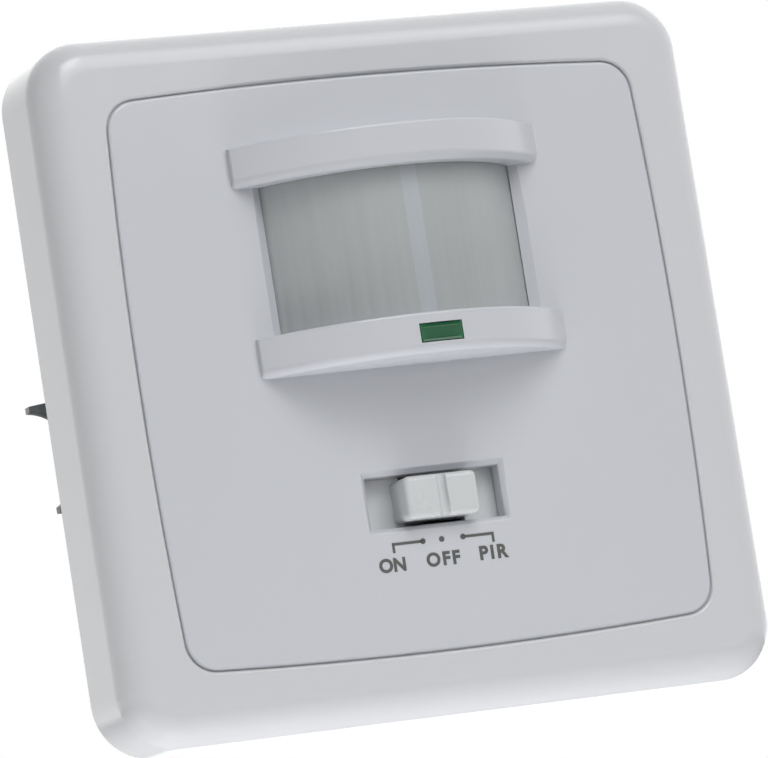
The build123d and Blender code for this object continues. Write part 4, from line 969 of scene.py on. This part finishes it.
class SWITCH_OT_terminals(Operator):
    """Finish the terminal block, its cages and screws"""

    bl_idname = "light_switch.make_terminals"
    bl_label = "Terminals"

    def execute(self, context):
        grey = plastic("terminal_grey", (0.25, 0.26, 0.27), (0.42, 0.55), 0.05, 0.1, 0.01 * MM)
        brass = metal("cage_brass", (0.72, 0.52, 0.22), (0.4, 0.28, 0.12), 0.5)
        zinc = metal("terminal_zinc", (0.62, 0.62, 0.63), (0.42, 0.42, 0.43), 0.5, (0.22, 0.4))
        dress("terminal_block", grey, BLOCK_EDGE_RADIUS)
        dress("contact_bars", brass)
        for pole in ("left", "middle", "right"):
            dress("terminal_cage_" + pole, brass, CAGE_EDGE_RADIUS)
            dress("terminal_screw_" + pole, zinc)
        return {"FINISHED"}


class SWITCH_OT_electronics(Operator):
    """Give the boards and their parts their finishes"""

    bl_idname = "light_switch.finish_electronics"
    bl_label = "Electronics"

    def execute(self, context):
        laminate = plastic("board_green", (0.045, 0.16, 0.06), (0.25, 0.4), 0.15, 0.1)
        black = plastic("part_black", (0.018, 0.018, 0.02), (0.4, 0.55), 0.05, 0.15)
        tin = metal("tin_plate", (0.62, 0.62, 0.60), (0.5, 0.5, 0.48), 0.4, (0.25, 0.4))
        finishes = {
            "sensor_board": laminate,
            "power_board": laminate,
            "slide_switch_case": tin,
            "slide_switch_carriage": black,
            "slide_switch_base": black,
            "led_spacer": black,
            "pir_sensor": metal("can_nickel", (0.60, 0.59, 0.56), (0.45, 0.44, 0.42), 0.3, (0.18, 0.3)),
            "pir_window": plastic("filter_dark", (0.02, 0.018, 0.022), (0.08, 0.14), 0.02, 0),
            "light_sensor": plastic("sensor_ceramic", (0.55, 0.30, 0.12), (0.3, 0.45), 0.2, 0.05),
            "trimmer_body_time": plastic("trimmer_blue", (0.03, 0.10, 0.38), (0.3, 0.45)),
            "trimmer_rotor_time": plastic("trimmer_white", (0.70, 0.70, 0.66), (0.35, 0.5)),
            "signal_transistors": black,
            "sensor_resistors": plastic("resistor_tan", (0.52, 0.36, 0.20), (0.25, 0.4), 0.15, 0),
            "control_ic": black,
            "link_strip": black,
            "link_pins": tin,
            "relay": plastic("relay_blue", (0.03, 0.09, 0.28), (0.2, 0.35)),
            "film_capacitor": plastic("film_yellow", (0.55, 0.36, 0.04), (0.25, 0.4)),
            "smoothing_capacitors": plastic("sleeve_black", (0.02, 0.022, 0.03), (0.2, 0.35)),
            "varistor": plastic("varistor_blue", (0.03, 0.14, 0.30), (0.3, 0.45), 0.1, 0),
            "rectifier_diodes": black,
            "line_fuse": plastic("fuse_brown", (0.20, 0.12, 0.07), (0.35, 0.5)),
        }
        finishes["trimmer_body_light"] = finishes["trimmer_body_time"]
        finishes["trimmer_rotor_light"] = finishes["trimmer_rotor_time"]
        for node, finish in finishes.items():
            dress(node, finish)
        return {"FINISHED"}


class SWITCH_PT_steps(Panel):
    """Lists the steps that finish the switch"""

    bl_idname = "SWITCH_PT_steps"
    bl_label = "Light Switch"
    bl_space_type = "VIEW_3D"
    bl_region_type = "UI"
    bl_category = "Light Switch"

    def draw(self, context):
        for step in STEPS:
            self.layout.operator(step.bl_idname)
        for settings in (context.scene.switch_sizes, context.scene.switch_colours, context.scene.switch_stage):
            box = self.layout.box()
            for name in settings.bl_rna.properties.keys():
                if name not in ("rna_type", "name"):
                    box.prop(settings, name)


SETTINGS = (SwitchSizes, SwitchColours, StageSettings)
STEPS = (
    SWITCH_OT_stage,
    SWITCH_OT_frame,
    SWITCH_OT_cover,
    SWITCH_OT_lens,
    SWITCH_OT_lamp,
    SWITCH_OT_knob,
    SWITCH_OT_lettering,
    SWITCH_OT_fixings,
    SWITCH_OT_housing,
    SWITCH_OT_terminals,
    SWITCH_OT_electronics,
)


def register():
    for kind in SETTINGS + STEPS + (SWITCH_PT_steps,):
        bpy.utils.register_class(kind)
    bpy.types.Scene.switch_sizes = PointerProperty(type=SwitchSizes)
    bpy.types.Scene.switch_colours = PointerProperty(type=SwitchColours)
    bpy.types.Scene.switch_stage = PointerProperty(type=StageSettings)


def unregister():
    del bpy.types.Scene.switch_stage
    del bpy.types.Scene.switch_colours
    del bpy.types.Scene.switch_sizes
    for kind in reversed(SETTINGS + STEPS + (SWITCH_PT_steps,)):
        bpy.utils.unregister_class(kind)


def main():
    """Builds everything in order."""
    register()
    bpy.ops.light_switch.set_stage()
    bpy.ops.light_switch.make_frame()
    bpy.ops.light_switch.make_cover()
    bpy.ops.light_switch.make_lens()
    bpy.ops.light_switch.make_lamp()
    bpy.ops.light_switch.make_knob()
    bpy.ops.light_switch.print_lettering()
    bpy.ops.light_switch.make_fixings()
    bpy.ops.light_switch.make_housing()
    bpy.ops.light_switch.make_terminals()
    bpy.ops.light_switch.finish_electronics()


if __name__ == "__main__":
    main()
